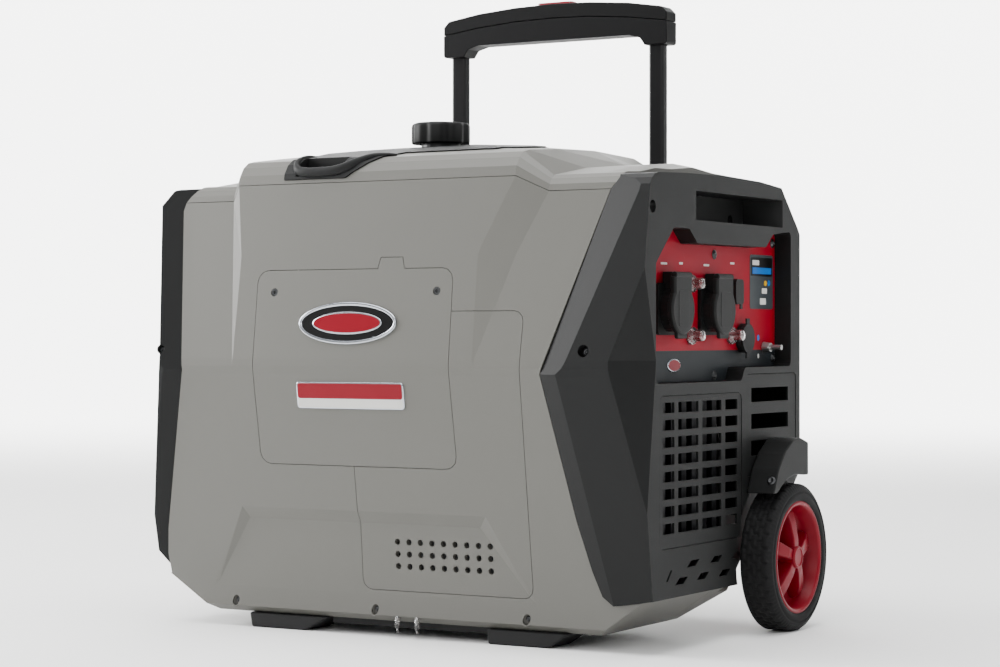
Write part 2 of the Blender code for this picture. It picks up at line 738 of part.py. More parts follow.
VENT_COLUMNS = 9
VENT_ROWS = 3
VENT_PITCH_X = 0.0142
VENT_PITCH_Z = 0.0129
VENT_FIRST_X = 0.0066
VENT_LOW_Z = CREASE_Z - 0.2100
VENT_HOLE = 0.0035


def make_vent_panel():
    panel = cover_hull("vent_panel", GREY_PLASTIC)
    carve(panel, front_prism("vent_panel_region", VENT_OUTLINE), "INTERSECT")
    carve(panel, front_prism("vent_panel_service_edge", SERVICE_OUTLINE, SEAM))
    carve(panel, interior("vent_panel_hollow", [pressed_backing("vent_panel_backing")]))
    carve(panel, pressed_field("vent_panel_field"))
    for row in range(VENT_ROWS):
        for column in range(VENT_COLUMNS):
            centre = Vector((VENT_FIRST_X + column * VENT_PITCH_X, front_y(VENT_LOW_Z),
                             VENT_LOW_Z + row * VENT_PITCH_Z))
            hole = disc(f"vent_hole_{row}_{column}", "Y", centre, VENT_HOLE, -0.03, 0.03, 8)
            carve(panel, hole)


# ---------------------------------------------------------------- end frames and what they hold
def grip_pocket(name, side, gap=0.0):
    """The lifting pocket above the middle of an end face."""
    mouth = side * (HALF_LENGTH + 0.01)
    floor = side * (HALF_LENGTH - GRIP_DEPTH[side])
    outline = [(mouth, GRIP_Y[0]), (floor, GRIP_Y[1]), (floor, GRIP_Y[2]), (mouth, GRIP_Y[3])]
    return prism(name, grown(outline, gap), "Z", GRIP_LOW - gap, GRIP_HIGH + gap)


def end_prism(name, outline, side, inner, gap=0.0):
    """A cutter through an end face, from an inner x outwards."""
    return prism(name, grown(outline, gap), "X", side * inner, side * (HALF_LENGTH + 0.03))


def make_control_end():
    panel_back = PANEL_X - PANEL_THICK - FIT
    through = HALF_LENGTH - 0.020
    slots = []
    for number, (y, rise, length) in enumerate(SLOTS):
        z = CREASE_Z + rise
        lean = SLOT_SLANT
        outline = [(y - length / 2, z - SLOT_TALL / 2), (y + length / 2 - lean, z - SLOT_TALL / 2),
                   (y + length / 2, z + SLOT_TALL / 2), (y - length / 2 + lean, z + SLOT_TALL / 2)]
        if length < 2 * lean:
            outline = [(y - 0.008, z - 0.005), (y - 0.004, z - 0.005), (y + 0.006, z + 0.006),
                       (y + 0.002, z + 0.006)]
        slots.append(prism(f"low_slot_{number}", outline, "X", through, HALF_LENGTH + 0.03))
    solids = [
        end_prism("panel_collar", PANEL_OUTLINE, 1, panel_back - WALL, WALL),
        grip_pocket("control_grip_collar", 1, WALL),
        wall_of_well("control_well_wall", 1),
    ]
    recesses = [
        end_prism("panel_recess", PANEL_OUTLINE, 1, panel_back),
        end_prism("panel_through", PANEL_CORNERS, 1, 0.25, -PANEL_LEDGE),
        grip_pocket("control_grip_pocket", 1),
        end_prism("grille_opening", GRILLE_OUTLINE, 1, through),
        end_prism("louvre_opening", LOUVRE_OUTLINE, 1, through),
        *slots,
    ]
    facets = ((0.035, 0.008, 0.0, 0.1006), (0.035, 0.008, 0.0, -0.143))
    end_frame("control_end_frame", CONTROL_EDGE, 1, recesses, solids, facets)


def make_exhaust_end():
    solids = [grip_pocket("exhaust_grip_collar", -1, WALL), wall_of_well("exhaust_well_wall", -1)]
    recesses = [
        grip_pocket("exhaust_grip_pocket", -1),
        end_prism("exhaust_opening", EXHAUST_OUTLINE, -1, HALF_LENGTH - 0.020),
    ]
    facets = ((0.026, 0.013, 0.011, 0.163), (0.026, 0.013, 0.0, -0.172))
    end_frame("exhaust_end_frame", EXHAUST_EDGE, -1, recesses, solids, facets, EXHAUST_SLOPES)


GRILLE_ROWS = 8
GRILLE_ROW_PITCH = 0.01735
GRILLE_ROW_TALL = 0.0105
GRILLE_COLUMNS = ((-0.1479, -0.1233), (-0.1142, -0.0681), (-0.0587, -0.0132), (-0.0034, 0.0262))
LOUVRE_SLOTS = ((0.0616, 0.1581, -0.0308, 0.0151), (0.0616, 0.1581, -0.0592, 0.0161),
                (0.0616, 0.1004, -0.0881, 0.0161))
PLATE_INNER = HALF_LENGTH - WALL
PLATE_FACE = HALF_LENGTH - 0.0005


def slotted_plate(name, outline, side, slots):
    """A flat plate in an opening of an end face, with rectangular slots."""
    plate = prism(name, grown(outline, -FIT), "X", side * PLATE_INNER, side * PLATE_FACE,
                  BLACK_PLASTIC)
    for number, (low_y, high_y, low_z, high_z) in enumerate(slots):
        slot = rectangle(low_y, low_z, high_y, high_z)
        carve(plate, end_prism(f"{name}_slot_{number}", slot, side, HALF_LENGTH - 0.02))
    return plate


def make_end_plates():
    first = CREASE_Z - 0.1608
    grille = [
        (low, high, first + row * GRILLE_ROW_PITCH - GRILLE_ROW_TALL / 2,
         first + row * GRILLE_ROW_PITCH + GRILLE_ROW_TALL / 2)
        for row in range(GRILLE_ROWS) for low, high in GRILLE_COLUMNS
    ]
    slotted_plate("intake_grille", GRILLE_OUTLINE, 1, grille)
    louvres = [(low, high, CREASE_Z + middle - tall / 2, CREASE_Z + middle + tall / 2)
               for low, high, middle, tall in LOUVRE_SLOTS]
    slotted_plate("louvre_panel", LOUVRE_OUTLINE, 1, louvres)
    exhaust = [(-0.122, 0.007, CREASE_Z - 0.150 + row * 0.018, CREASE_Z - 0.140 + row * 0.018)
               for row in range(5)]
    plate = slotted_plate("exhaust_grille", EXHAUST_OUTLINE, -1, exhaust)
    outlet = disc("exhaust_outlet", "X", MUFFLER_OUTLET, 0.020, -0.05, 0.05)
    carve(plate, outlet)


MUFFLER_OUTLET = Vector((-HALF_LENGTH, -0.058, CREASE_Z - 0.010))


# ---------------------------------------------------------------- control panel
SOCKET_Y = (-0.1036, -0.1036 + SOCKET_PITCH)
SOCKET_Z = CREASE_Z + 0.060
SOCKET_BARREL = 0.021
SOCKET_RIM = 0.0235
SOCKET_BORE = 0.0195
SOCKET_OUT = 0.014
LID_THICK = 0.0065
LID_HINGE_X = PANEL_X + SOCKET_OUT + FIT + 0.0036
LID_HINGE_Z = SOCKET_Z + 0.0345
LID_BARREL = 0.0034
BREAKERS = (("upper", -0.0485, 0.0869), ("lower_left", -0.0485, 0.0330), ("lower_right", 0.0490, 0.0330))
BREAKER_BASE = 0.0092
BREAKER_TIP = 0.0062
USB_CENTRE = (0.0585, CREASE_Z + 0.080)
DC_CENTRE = (0.0765, CREASE_Z + 0.030)
GROUND_CENTRE = (0.1350, CREASE_Z + 0.020)
USB_HALF = (0.0100, 0.0135)
DC_RADIUS = 0.0160
FLAP_THICK = 0.003


def make_control_panel():
    panel = prism("control_panel", grown(PANEL_OUTLINE, -FIT), "X", PANEL_X - PANEL_THICK, PANEL_X,
                  PANEL_PLASTIC)
    holes = [(y, SOCKET_Z, SOCKET_BARREL) for y in SOCKET_Y]
    holes += [(y, CREASE_Z + rise, BREAKER_BASE) for _, y, rise in BREAKERS]
    holes += [(*USB_CENTRE, 0.0075), (*DC_CENTRE, 0.0125), (*GROUND_CENTRE, 0.0035)]
    for number, (y, z, radius) in enumerate(holes):
        centre = Vector((PANEL_X, y, z))
        carve(panel, disc(f"panel_hole_{number}", "X", centre, radius + FIT, -0.01, 0.01, ROUND))
    for name, y in zip(("left", "right"), SOCKET_Y):
        make_socket(name, y)
    for name, y, rise in BREAKERS:
        make_breaker(name, Vector((PANEL_X, y, CREASE_Z + rise)))
    make_small_outlets()
    make_ground()


def make_socket(name, y):
    """A mains socket: a square flange, a round well and a sprung lid hinged along its top."""
    centre = Vector((PANEL_X, y, SOCKET_Z))
    half = SOCKET_SIZE / 2
    flange_face = 0.004
    body = prism(f"socket_{name}_body",
                 rectangle(y - half, SOCKET_Z - half, y + half, SOCKET_Z + half, 0.005, 2),
                 "X", PANEL_X + FIT, PANEL_X + flange_face, BLACK_PLASTIC)
    profile = [(0.0, -0.022), (SOCKET_BARREL, -0.022), (SOCKET_BARREL, 0.0018),
               (SOCKET_RIM, 0.0018), (SOCKET_RIM, SOCKET_OUT), (0.0, SOCKET_OUT)]
    carve(body, turned(f"socket_{name}_barrel", profile, "X", centre), "UNION")
    hinge = block(f"socket_{name}_hinge", (PANEL_X + 0.002, y - 0.012, SOCKET_Z + 0.018),
                  (PANEL_X + 0.0125, y + 0.012, LID_HINGE_Z + LID_BARREL))
    carve(body, hinge, "UNION")
    bore = disc(f"socket_{name}_bore", "X", centre, SOCKET_BORE, -0.006, 0.05)
    carve(body, bore)

    low = SOCKET_Z - half - 0.004
    shape = rounded([(y - half, low), (y + half - 0.001, low), (y + half - 0.001, LID_HINGE_Z),
                     (y - half, LID_HINGE_Z)], 0.012, 3)
    inner = PANEL_X + SOCKET_OUT + FIT
    lid = prism(f"socket_{name}_lid", shape, "X", inner, inner + LID_THICK, BLACK_PLASTIC)
    axis = Vector((LID_HINGE_X, y, LID_HINGE_Z))
    carve(lid, disc(f"socket_{name}_lid_barrel", "Y", axis, LID_BARREL, -0.018, 0.018, 12), "UNION")
    pivot(lid, axis)


def make_breaker(name, centre):
    """A reset button under its clear boot, in a hole of the panel."""
    profile = [(0.0, -0.010), (BREAKER_BASE, -0.010), (BREAKER_BASE, 0.0055), (BREAKER_TIP, 0.0075),
               (BREAKER_TIP, 0.0155), (0.0, 0.0165)]
    pivot(turned("breaker_" + name, profile, "X", centre, ROUND, CLEAR_RUBBER), centre)


def make_small_outlets():
    """The USB and 12 V outlets, each under a flap that hinges at its low edge or its top."""
    y, z = USB_CENTRE
    wide, tall = USB_HALF
    body = prism("usb_socket", rectangle(y - wide, z - tall, y + wide, z + tall, 0.003, 2), "X",
                 PANEL_X + FIT, PANEL_X + 0.004, BLACK_PLASTIC)
    carve(body, disc("usb_socket_rear", "X", Vector((PANEL_X, y, z)), 0.0075, -0.012, 0.002),
          "UNION")
    for number, shift in enumerate((-0.0045, 0.0045)):
        port = block(f"usb_port_{number}", (PANEL_X - 0.006, y + shift - 0.0018, z - 0.0065),
                     (PANEL_X + 0.01, y + shift + 0.0018, z + 0.0065))
        carve(body, port)
    flap_x = PANEL_X + 0.004 + FIT
    flap = prism("usb_cover", rectangle(y - wide, z - tall, y + wide, z + tall, 0.004, 2), "X",
                 flap_x, flap_x + FLAP_THICK, RUBBER)
    tab = block("usb_cover_tab", (flap_x + 0.001, y + 0.002, z - tall - 0.005),
                (flap_x + 0.0025, y + 0.008, z - tall + 0.002))
    carve(flap, tab, "UNION")
    pivot(flap, (flap_x, y, z + tall))

    y, z = DC_CENTRE
    centre = Vector((PANEL_X, y, z))
    profile = [(0.0, -0.015), (0.0125, -0.015), (0.0125, 0.001), (DC_RADIUS, 0.001),
               (DC_RADIUS, 0.006), (0.0105, 0.006), (0.0105, -0.012), (0.0, -0.012)]
    turned("dc_socket", profile, "X", centre, ROUND, BLACK_PLASTIC)
    face = 0.006 + FIT
    flap = disc("dc_cover", "X", centre, DC_RADIUS, face, face + FLAP_THICK, ROUND, RUBBER)
    for number, side in enumerate((-1, 1)):
        reach = sorted((side * (DC_RADIUS - 0.003), side * (DC_RADIUS + 0.0055)))
        tab = block(f"dc_cover_tab_{number}", (PANEL_X + face + 0.0005, y - 0.004, z + reach[0]),
                    (PANEL_X + face + 0.0025, y + 0.004, z + reach[1]))
        carve(flap, tab, "UNION")
    pivot(flap, (PANEL_X + face, y, z + DC_RADIUS))


def make_ground():
    y, z = GROUND_CENTRE
    centre = Vector((PANEL_X, y, z))
    stud = [(0.0, -0.010), (0.0060, -0.010), (0.0060, -PANEL_THICK - FIT - 0.0005),
            (0.0030, -PANEL_THICK - FIT - 0.0005), (0.0030, 0.022), (0.0, 0.022)]
    turned("ground_stud", stud, "X", centre, 12, STEEL)
    hub = [(0.0030 + FIT, FIT), (0.0062, FIT), (0.0050, 0.009), (0.0030 + FIT, 0.009)]
    nut = turned("ground_nut", hub, "X", centre, 16, STEEL)
    for number, side in enumerate((-1, 1)):
        reach = sorted((side * 0.0045, side * 0.0125))
        wing = block(f"ground_nut_wing_{number}", (PANEL_X + 0.003, y + reach[0], z - 0.001),
                     (PANEL_X + 0.0105, y + reach[1], z + 0.001))
        carve(nut, wing, "UNION")
    pivot(nut, centre)


# ---------------------------------------------------------------- base, feet and wheels
TRAY_THICK = 0.0067
TRAY_HALF = 0.190
TRAY_FRONT = FRONT_Y + 0.052
TRAY_BACK = 0.012
FOOT_FRONT = FRONT_Y + 0.042
FOOT_BACK = FOOT_FRONT + 0.048
LUG_X = 0.175
LUG_THICK = 0.006


def make_base():
    top = BASE_Z - FIT
    low = top - TRAY_THICK
    tray = block("base_tray", (-TRAY_HALF, TRAY_FRONT, low), (TRAY_HALF, TRAY_BACK, top), BLACK_STEEL)
    slope = (BACK_LOW_Z - BASE_Z) / (BAND_FACE_Y - SLOPE_START_Y)
    far = WHEEL_Y + 0.014

    def under(y):
        return BASE_Z + slope * (y - SLOPE_START_Y) - 0.0012

    lug = [(-0.05, low + 0.001), (0.03, low + 0.001), (WHEEL_Y, WHEEL_RADIUS - 0.014),
           (far, WHEEL_RADIUS - 0.008), (far, under(far) - 0.004), (WHEEL_Y + 0.006, under(WHEEL_Y)),
           (SLOPE_START_Y, top - 0.001), (-0.05, top - 0.001)]
    for side, name in ((1, "right"), (-1, "left")):
        x = side * LUG_X
        plate = prism("axle_lug_" + name, lug, "X", x - LUG_THICK / 2, x + LUG_THICK / 2)
        carve(tray, plate, "UNION")
    hub = Vector((0, WHEEL_Y, WHEEL_RADIUS))
    carve(tray, disc("axle_lug_bore", "X", hub, AXLE_RADIUS + FIT, -DEEP, DEEP, ROUND))
    feet = (("left", -0.1958, -0.0919, -0.1931, -0.1221), ("right", 0.1078, 0.2049, 0.1090, 0.1804))
    for name, left, right, low_left, low_right in feet:
        outline = [(left, top), (right, top), (low_right, 0.0), (low_left, 0.0)]
        prism("foot_" + name, outline, "Y", FOOT_FRONT, FOOT_BACK, RUBBER)
        carve(tray, block("foot_notch_" + name, (left - FIT, TRAY_FRONT - 0.01, 0.0),
                          (right + FIT, FOOT_BACK + FIT, top + 0.01)))


def make_wheels():
    hub = Vector((0, WHEEL_Y, WHEEL_RADIUS))
    inner = HALF_LENGTH - WHEEL_INSET
    outer = inner + WHEEL_WIDTH
    turn = (WHEEL_RADIUS, WHEEL_RADIUS - 0.0015, WHEEL_RADIUS - 0.006)
    for side, name in ((1, "right"), (-1, "left")):
        tread = [
            (RIM_RADIUS + FIT, inner + 0.004), (turn[2], inner), (turn[1], inner + 0.005),
            (turn[0], inner + 0.011), (turn[0], outer - 0.011), (turn[1], outer - 0.005),
            (turn[2], outer), (RIM_RADIUS + FIT, outer - 0.003),
        ]
        tyre = turned("tyre_" + name, [(r, side * t) for r, t in tread], "X", hub, BIG_ROUND, RUBBER)
        bore = AXLE_RADIUS + 0.0004
        disc_profile = [
            (bore, inner + 0.002), (0.014, inner + 0.002), (0.014, inner + 0.014),
            (0.056, inner + 0.014), (0.056, inner + 0.005), (RIM_RADIUS, inner + 0.005),
            (RIM_RADIUS, outer - 0.003), (0.056, outer - 0.003), (0.054, inner + 0.018),
            (0.016, inner + 0.018), (0.0145, outer - 0.002), (0.0, outer - 0.002),
            (0.0, outer - 0.006), (bore, outer - 0.006),
        ]
        rim = turned("rim_" + name, [(r, side * t) for r, t in disc_profile], "X", hub, 36,
                     RED_PLASTIC)
        for number in range(5):
            carve(rim, spoke(f"rim_{name}_spoke_{number}", hub, number, side, inner, outer), "UNION")
        hold(f"wheel_{name}_hub", hub + Vector((side * inner, 0, 0)), [tyre, rim])
    end = outer - 0.007
    disc("axle", "X", hub, AXLE_RADIUS, -end, end, ROUND, STEEL)


def spoke(name, hub, number, side, inner, outer):
    """One of five spokes, wider towards the rim, standing on the web."""
    angle = math.radians(90 + 72 * number)
    out = Vector((0, math.cos(angle), math.sin(angle)))
    across = Vector((0, -math.sin(angle), math.cos(angle)))
    rings = []
    for x, narrow in ((inner + 0.016, 0.0), (outer - 0.006, 0.0025)):
        rings.append([
            hub + Vector((side * x, 0, 0)) + out * reach + across * half
            for reach, half in ((0.012, -0.0075 + narrow), (0.058, -0.0105 + narrow),
                                (0.058, 0.0105 - narrow), (0.012, 0.0075 - narrow))
        ])
    return loft(name, rings)


def make_fenders():
    """A short guard over the front of each wheel, screwed to the end face."""
    inner_radius = WHEEL_RADIUS + WELL_CLEARANCE
    start, stop = math.radians(127), math.radians(78)
    arc = [
        (WHEEL_Y + inner_radius * math.cos(start + (stop - start) * k / 5),
         WHEEL_RADIUS + inner_radius * math.sin(start + (stop - start) * k / 5))
        for k in range(6)
    ]
    # outer corners from the hub, in wheel radii, back to front
    outer = [(WHEEL_Y + u * WHEEL_RADIUS, WHEEL_RADIUS + v * WHEEL_RADIUS) for u, v in (
        (0.35, 1.54375), (0.075, 1.61875), (-0.175, 1.58125), (-0.425, 1.44375), (-0.65, 1.2))]
    outline = [(arc[0][0] - 0.010, arc[0][1]), *arc, (outer[0][0], arc[-1][1]), *outer]
    for side, name in ((1, "right"), (-1, "left")):
        low = side * (HALF_LENGTH + FIT)
        prism("fender_" + name, outline, "X", low, side * (HALF_LENGTH + 0.032), BLACK_PLASTIC)


# ---------------------------------------------------------------- telescopic handle
def make_handle():
    tube_top = HANDLE_TOP - GRIP_TALL + 0.006
    tube_low = HANDLE_TOP - 0.0555 - HANDLE_TRAVEL - 0.165
    front, back = HANDLE_Y - GRIP_DEEP / 2, HANDLE_Y + GRIP_DEEP / 2
    end = HANDLE_HALF + GRIP_OVERHANG

    def arched(height, x):
        return height - 0.012 * (x / end) ** 2

    steps = [end * (k / 6 * 2 - 1) for k in range(7)]
    part_line = HANDLE_TOP - 0.017
    top_edge = [(x, arched(HANDLE_TOP, x)) for x in steps[1:-1]]
    cap_outline = [(-end, arched(part_line, end)), *[(x, arched(part_line, x)) for x in steps[1:-1]],
                   (end, arched(part_line, end)), (end, arched(HANDLE_TOP, end) - 0.007),
                   (end - 0.007, arched(HANDLE_TOP, end)), *reversed(top_edge),
                   (-end + 0.007, arched(HANDLE_TOP, end)), (-end, arched(HANDLE_TOP, end) - 0.007)]
    grip = prism("handle_grip", cap_outline, "Y", front, back, BLACK_PLASTIC)
    under = HANDLE_TOP - GRIP_TALL
    sleeve = HANDLE_TOP - 0.0555
    inner = HANDLE_HALF - TUBE_WIDE / 2 - 0.002
    yoke_outline = [
        *[(x, arched(part_line, x) - FIT) for x in steps], (end, sleeve + 0.002),
        (end - 0.002, sleeve), (inner, sleeve), (inner - 0.006, under - 0.004),
        (inner - 0.020, under), (-inner + 0.020, under), (-inner + 0.006, under - 0.004),
        (-inner, sleeve), (-end + 0.002, sleeve), (-end, sleeve + 0.002),
    ]
    yoke = prism("handle_yoke", yoke_outline, "Y", front, back, BLACK_PLASTIC)
    pieces = [grip, yoke]
    for side, name in ((1, "right"), (-1, "left")):
        x = side * HANDLE_HALF
        half, deep = TUBE_WIDE / 2, TUBE_DEEP / 2
        socket = block("tube_socket_" + name, (x - half - FIT, HANDLE_Y - deep - FIT, sleeve - 0.01),
                       (x + half + FIT, HANDLE_Y + deep + FIT, tube_top + FIT))
        carve(yoke, socket)
        outline = rectangle(x - half, HANDLE_Y - deep, x + half, HANDLE_Y + deep, 0.003, 2)
        pieces.append(prism("handle_tube_" + name, outline, "Z", tube_low, tube_top, BLACK_STEEL))
        make_guide(name, x, tube_low)
    wide, deep, tall = 0.0235, 0.008, 0.0125
    button = prism("release_button", rectangle(-wide, -deep, wide, deep, 0.004, 2), "Z",
                   HANDLE_TOP - tall, HANDLE_TOP + 0.0025, RED_PLASTIC)
    button.data.transform(Matrix.Translation((0, HANDLE_Y, 0)))
    well_outline = rectangle(-wide - FIT, HANDLE_Y - deep - FIT, wide + FIT, HANDLE_Y + deep + FIT,
                             0.004, 2)
    carve(grip, prism("release_button_well", well_outline, "Z", part_line - 0.02, HANDLE_TOP + 0.01))
    hold("handle_carriage", (0, HANDLE_Y, HANDLE_TOP), [*pieces, button])


def make_guide(name, x, tube_low):
    """The fixed outer tube that the handle tube slides in."""
    low, high = tube_low - HANDLE_TRAVEL + 0.004, SEAM_Z - 0.019
    half, deep = TUBE_WIDE / 2 + TUBE_GAP, TUBE_DEEP / 2 + TUBE_GAP
    wall = 0.0015
    guide = block("guide_tube_" + name, (x - half - wall, HANDLE_Y - deep - wall, low),
                  (x + half + wall, HANDLE_Y + deep + wall, high), ALUMINIUM)
    carve(guide, block("guide_bore_" + name, (x - half, HANDLE_Y - deep, low - 0.01),
                       (x + half, HANDLE_Y + deep, high + 0.01)))


# ---------------------------------------------------------------- fuel, engine and generator
CAP_LOW = TOP_Z + 0.0075
CAP_TALL = 0.0245
NECK_TOP = CAP_LOW + 0.004


def make_fuel():
    low, high = SEAM_Z - 0.075, SEAM_Z + 0.012
    tank = prism("fuel_tank", rectangle(-0.170, -0.115, 0.110, 0.135, 0.02, 3), "Z", low, high,
                 BLACK_PLASTIC)
    centre = Vector((CAP_X, 0, 0))
    carve(tank, disc("fuel_neck", "Z", centre, NECK_RADIUS, high - 0.01, NECK_TOP), "UNION")
    carve(tank, disc("fuel_neck_bore", "Z", centre, NECK_RADIUS - 0.003, low + 0.02, NECK_TOP + 0.02))
    seal = [(NECK_RADIUS - 0.003, NECK_TOP + FIT), (NECK_RADIUS + 0.002, NECK_TOP + FIT),
            (NECK_RADIUS + 0.002, NECK_TOP + 0.002), (NECK_RADIUS - 0.003, NECK_TOP + 0.002)]
    turned("fuel_cap_gasket", seal, "Z", centre, ROUND, RUBBER)
    outline = []
    lobes = 8
    for k in range(lobes * 4):
        angle = 2 * math.pi * k / (lobes * 4)
        radius = CAP_RADIUS - (0.0022 if k % 4 == 0 else 0.0)
        outline.append((CAP_X + radius * math.cos(angle), radius * math.sin(angle)))
    cap = prism("fuel_cap", outline, "Z", CAP_LOW, CAP_LOW + CAP_TALL, BLACK_PLASTIC)
    carve(cap, disc("fuel_cap_hollow", "Z", centre, NECK_RADIUS + 0.0028, CAP_LOW - 0.01,
                    NECK_TOP + 0.002 + FIT))
    pivot(cap, (CAP_X, 0, CAP_LOW))


def make_engine():
    """A single-cylinder engine whose crankshaft runs across the body and turns the rotor."""
    crank = Vector((CRANK_X, 0, CRANK_Z))
    low = BASE_Z + 0.035
    engine = block("engine_block", (-0.055, -0.055, low), (0.095, 0.050, CRANK_Z + 0.055), ALUMINIUM)
    shaft_bore = disc("crank_bore", "Y", crank, 0.0105, -DEEP, DEEP)
    carve(engine, shaft_bore)
    head_low = CRANK_Z + 0.055 + FIT
    head = block("cylinder_head", (-0.040, -0.045, head_low), (0.080, 0.045, head_low + 0.050),
                 ALUMINIUM)
    for fin in range(4):
        z = head_low + 0.008 + fin * 0.011
        carve(head, block(f"head_fin_{fin}", (-0.06, -0.0451 - 0.01, z), (-0.024, 0.06, z + 0.005)))
        carve(head, block(f"head_fin_far_{fin}", (0.064, -0.0451 - 0.01, z), (0.10, 0.06, z + 0.005)))
    plug = [(0.0, 0.0), (0.006, 0.0), (0.006, 0.010), (0.009, 0.010), (0.009, 0.022), (0.0, 0.022)]
    turned("spark_plug", plug, "Y", Vector((CRANK_X, -0.068, head_low + 0.025)), 12, STEEL)
    rotor_low, rotor_high = 0.066, 0.112
    rotor = [
        (0.0, -0.048), (0.010, -0.048), (0.010, rotor_high - 0.006), (0.070, rotor_high - 0.006),
        (0.070, rotor_low), (0.075, rotor_low), (0.075, rotor_high), (0.010, rotor_high),
        (0.010, rotor_high + 0.024), (0.0, rotor_high + 0.024),
    ]
    pivot(turned("crankshaft_rotor", rotor, "Y", crank, ROUND, STEEL), crank)
    stator = [(0.012, 0.056), (0.030, 0.056), (0.066, 0.070), (0.066, rotor_high - 0.010),
              (0.012, rotor_high - 0.010)]
    turned("stator", stator, "Y", crank, ROUND, COPPER)
    make_recoil(crank, rotor_high + 0.024)


RECOIL_RADIUS = 0.045


def make_recoil(crank, shaft_end):
    start = shaft_end - 0.010
    housing = [(0.072, start), (0.078, start), (0.078, start + 0.046), (0.0, start + 0.046),
               (0.0, start + 0.042), (0.072, start + 0.042)]
    turned("recoil_housing", housing, "Y", crank, ROUND, BLACK_PLASTIC)
    groove = RECOIL_RADIUS
    pulley = [(0.0, shaft_end + 0.004), (groove + 0.006, shaft_end + 0.004),
              (groove, shaft_end + 0.009), (groove, shaft_end + 0.015),
              (groove + 0.006, shaft_end + 0.020), (0.0, shaft_end + 0.020)]
    pivot(turned("recoil_pulley", pulley, "Y", crank, ROUND, BLACK_PLASTIC), crank)

    x, y, z = RECOIL_EXIT
    outline = rounded([(x - 0.045, z - 0.011), (x + 0.045, z - 0.011), (x + 0.045, z + 0.011),
                       (x - 0.045, z + 0.011)], 0.009, 3)
    grip = prism("recoil_grip", outline, "Y", y + FIT, y + 0.0195, BLACK_PLASTIC)
    carve(grip, disc("recoil_rope_stub", "Y", RECOIL_EXIT, ROPE_RADIUS, -0.012, 0.004, 12), "UNION")
    pivot(grip, RECOIL_EXIT)

    knob = [(0.0, -0.012), (KNOB_SHAFT, -0.012), (KNOB_SHAFT, 0.001), (0.021, 0.001),
            (0.021, 0.006), (0.019, 0.008), (0.0, 0.008)]
    control = turned("engine_knob", knob, "Y", KNOB_CENTRE, ROUND, RED_PLASTIC)
    bar = block("engine_knob_bar", KNOB_CENTRE + Vector((-0.0045, 0.006, -0.018)),
                KNOB_CENTRE + Vector((0.0045, 0.019, 0.018)))
    carve(control, bar, "UNION")
    pivot(control, KNOB_CENTRE)


def make_inner_parts():
    """Muffler, air cleaner, carburettor and the power electronics."""
    outlet = MUFFLER_OUTLET
    muffler = prism("muffler", rectangle(outlet.y - 0.055, outlet.z - 0.085, outlet.y + 0.075,
                                         outlet.z + 0.055, 0.02, 3), "X", -0.262, -0.175, ALUMINIUM)
    pipe = disc("muffler_pipe", "X", Vector((0, outlet.y, outlet.z)), 0.016, -HALF_LENGTH + 0.001,
                -0.250, 16)
    carve(muffler, pipe, "UNION")
    carve(muffler, disc("muffler_bore", "X", Vector((0, outlet.y, outlet.z)), 0.013,
                        -HALF_LENGTH - 0.01, -0.2, 16))
    air_low = SERVICE_LOW + 0.012
    prism("air_box", rectangle(-0.140, air_low, 0.010, air_low + 0.150, 0.01, 2), "Y", -0.168, -0.100,
          BLACK_PLASTIC)
    block("carburetor", (-0.105, -0.095, CRANK_Z - 0.010), (-0.062, -0.045, CRANK_Z + 0.040), ALUMINIUM)
    module = block("inverter_module", (MODULE_BACK, -0.128, CREASE_Z - 0.188),
                   (MODULE_FACE, 0.016, CREASE_Z - 0.025), ALUMINIUM)
    for fin in range(6):
        y = -0.116 + fin * 0.024
        carve(module, block(f"module_groove_{fin}", (MODULE_FACE - 0.025, y, 0.0),
                            (MODULE_FACE + 0.01, y + 0.012, DEEP)))


MODULE_BACK = HALF_LENGTH - 0.100
MODULE_FACE = HALF_LENGTH - 0.014


def main():
    for obj in list(bpy.data.objects):
        bpy.data.objects.remove(obj)
    make_covers()
    make_control_end()
    make_exhaust_end()
    make_end_plates()
    make_control_panel()
    make_base()
    make_wheels()
    make_fenders()
    make_handle()
    make_fuel()
    make_engine()
    make_inner_parts()


if __name__ == "__main__":
    main()
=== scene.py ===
"""An inverter generator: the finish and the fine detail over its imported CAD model."""
import math

import bmesh
import bpy
from mathutils import Matrix, Vector


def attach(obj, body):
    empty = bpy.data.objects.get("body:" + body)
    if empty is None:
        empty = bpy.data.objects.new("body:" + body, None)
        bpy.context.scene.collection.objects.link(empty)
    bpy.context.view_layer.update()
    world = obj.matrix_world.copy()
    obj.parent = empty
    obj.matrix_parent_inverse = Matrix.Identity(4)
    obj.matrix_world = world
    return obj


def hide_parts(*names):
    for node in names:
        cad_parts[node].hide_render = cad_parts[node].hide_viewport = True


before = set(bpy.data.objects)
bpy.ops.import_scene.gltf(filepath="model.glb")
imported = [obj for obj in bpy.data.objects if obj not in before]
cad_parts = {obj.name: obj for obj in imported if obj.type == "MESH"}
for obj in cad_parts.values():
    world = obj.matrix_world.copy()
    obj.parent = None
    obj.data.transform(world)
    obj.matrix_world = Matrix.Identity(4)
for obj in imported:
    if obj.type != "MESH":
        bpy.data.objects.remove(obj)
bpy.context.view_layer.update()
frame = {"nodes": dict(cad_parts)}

bl_info = {
    "name": "Inverter Generator",
    "version": (1, 0, 0),
    "blender": (4, 5, 0),
    "location": "View3D > Sidebar > Generator",
    "description": "Finishes an inverter generator piece by piece",
    "category": "Object",
}

MM = 0.001

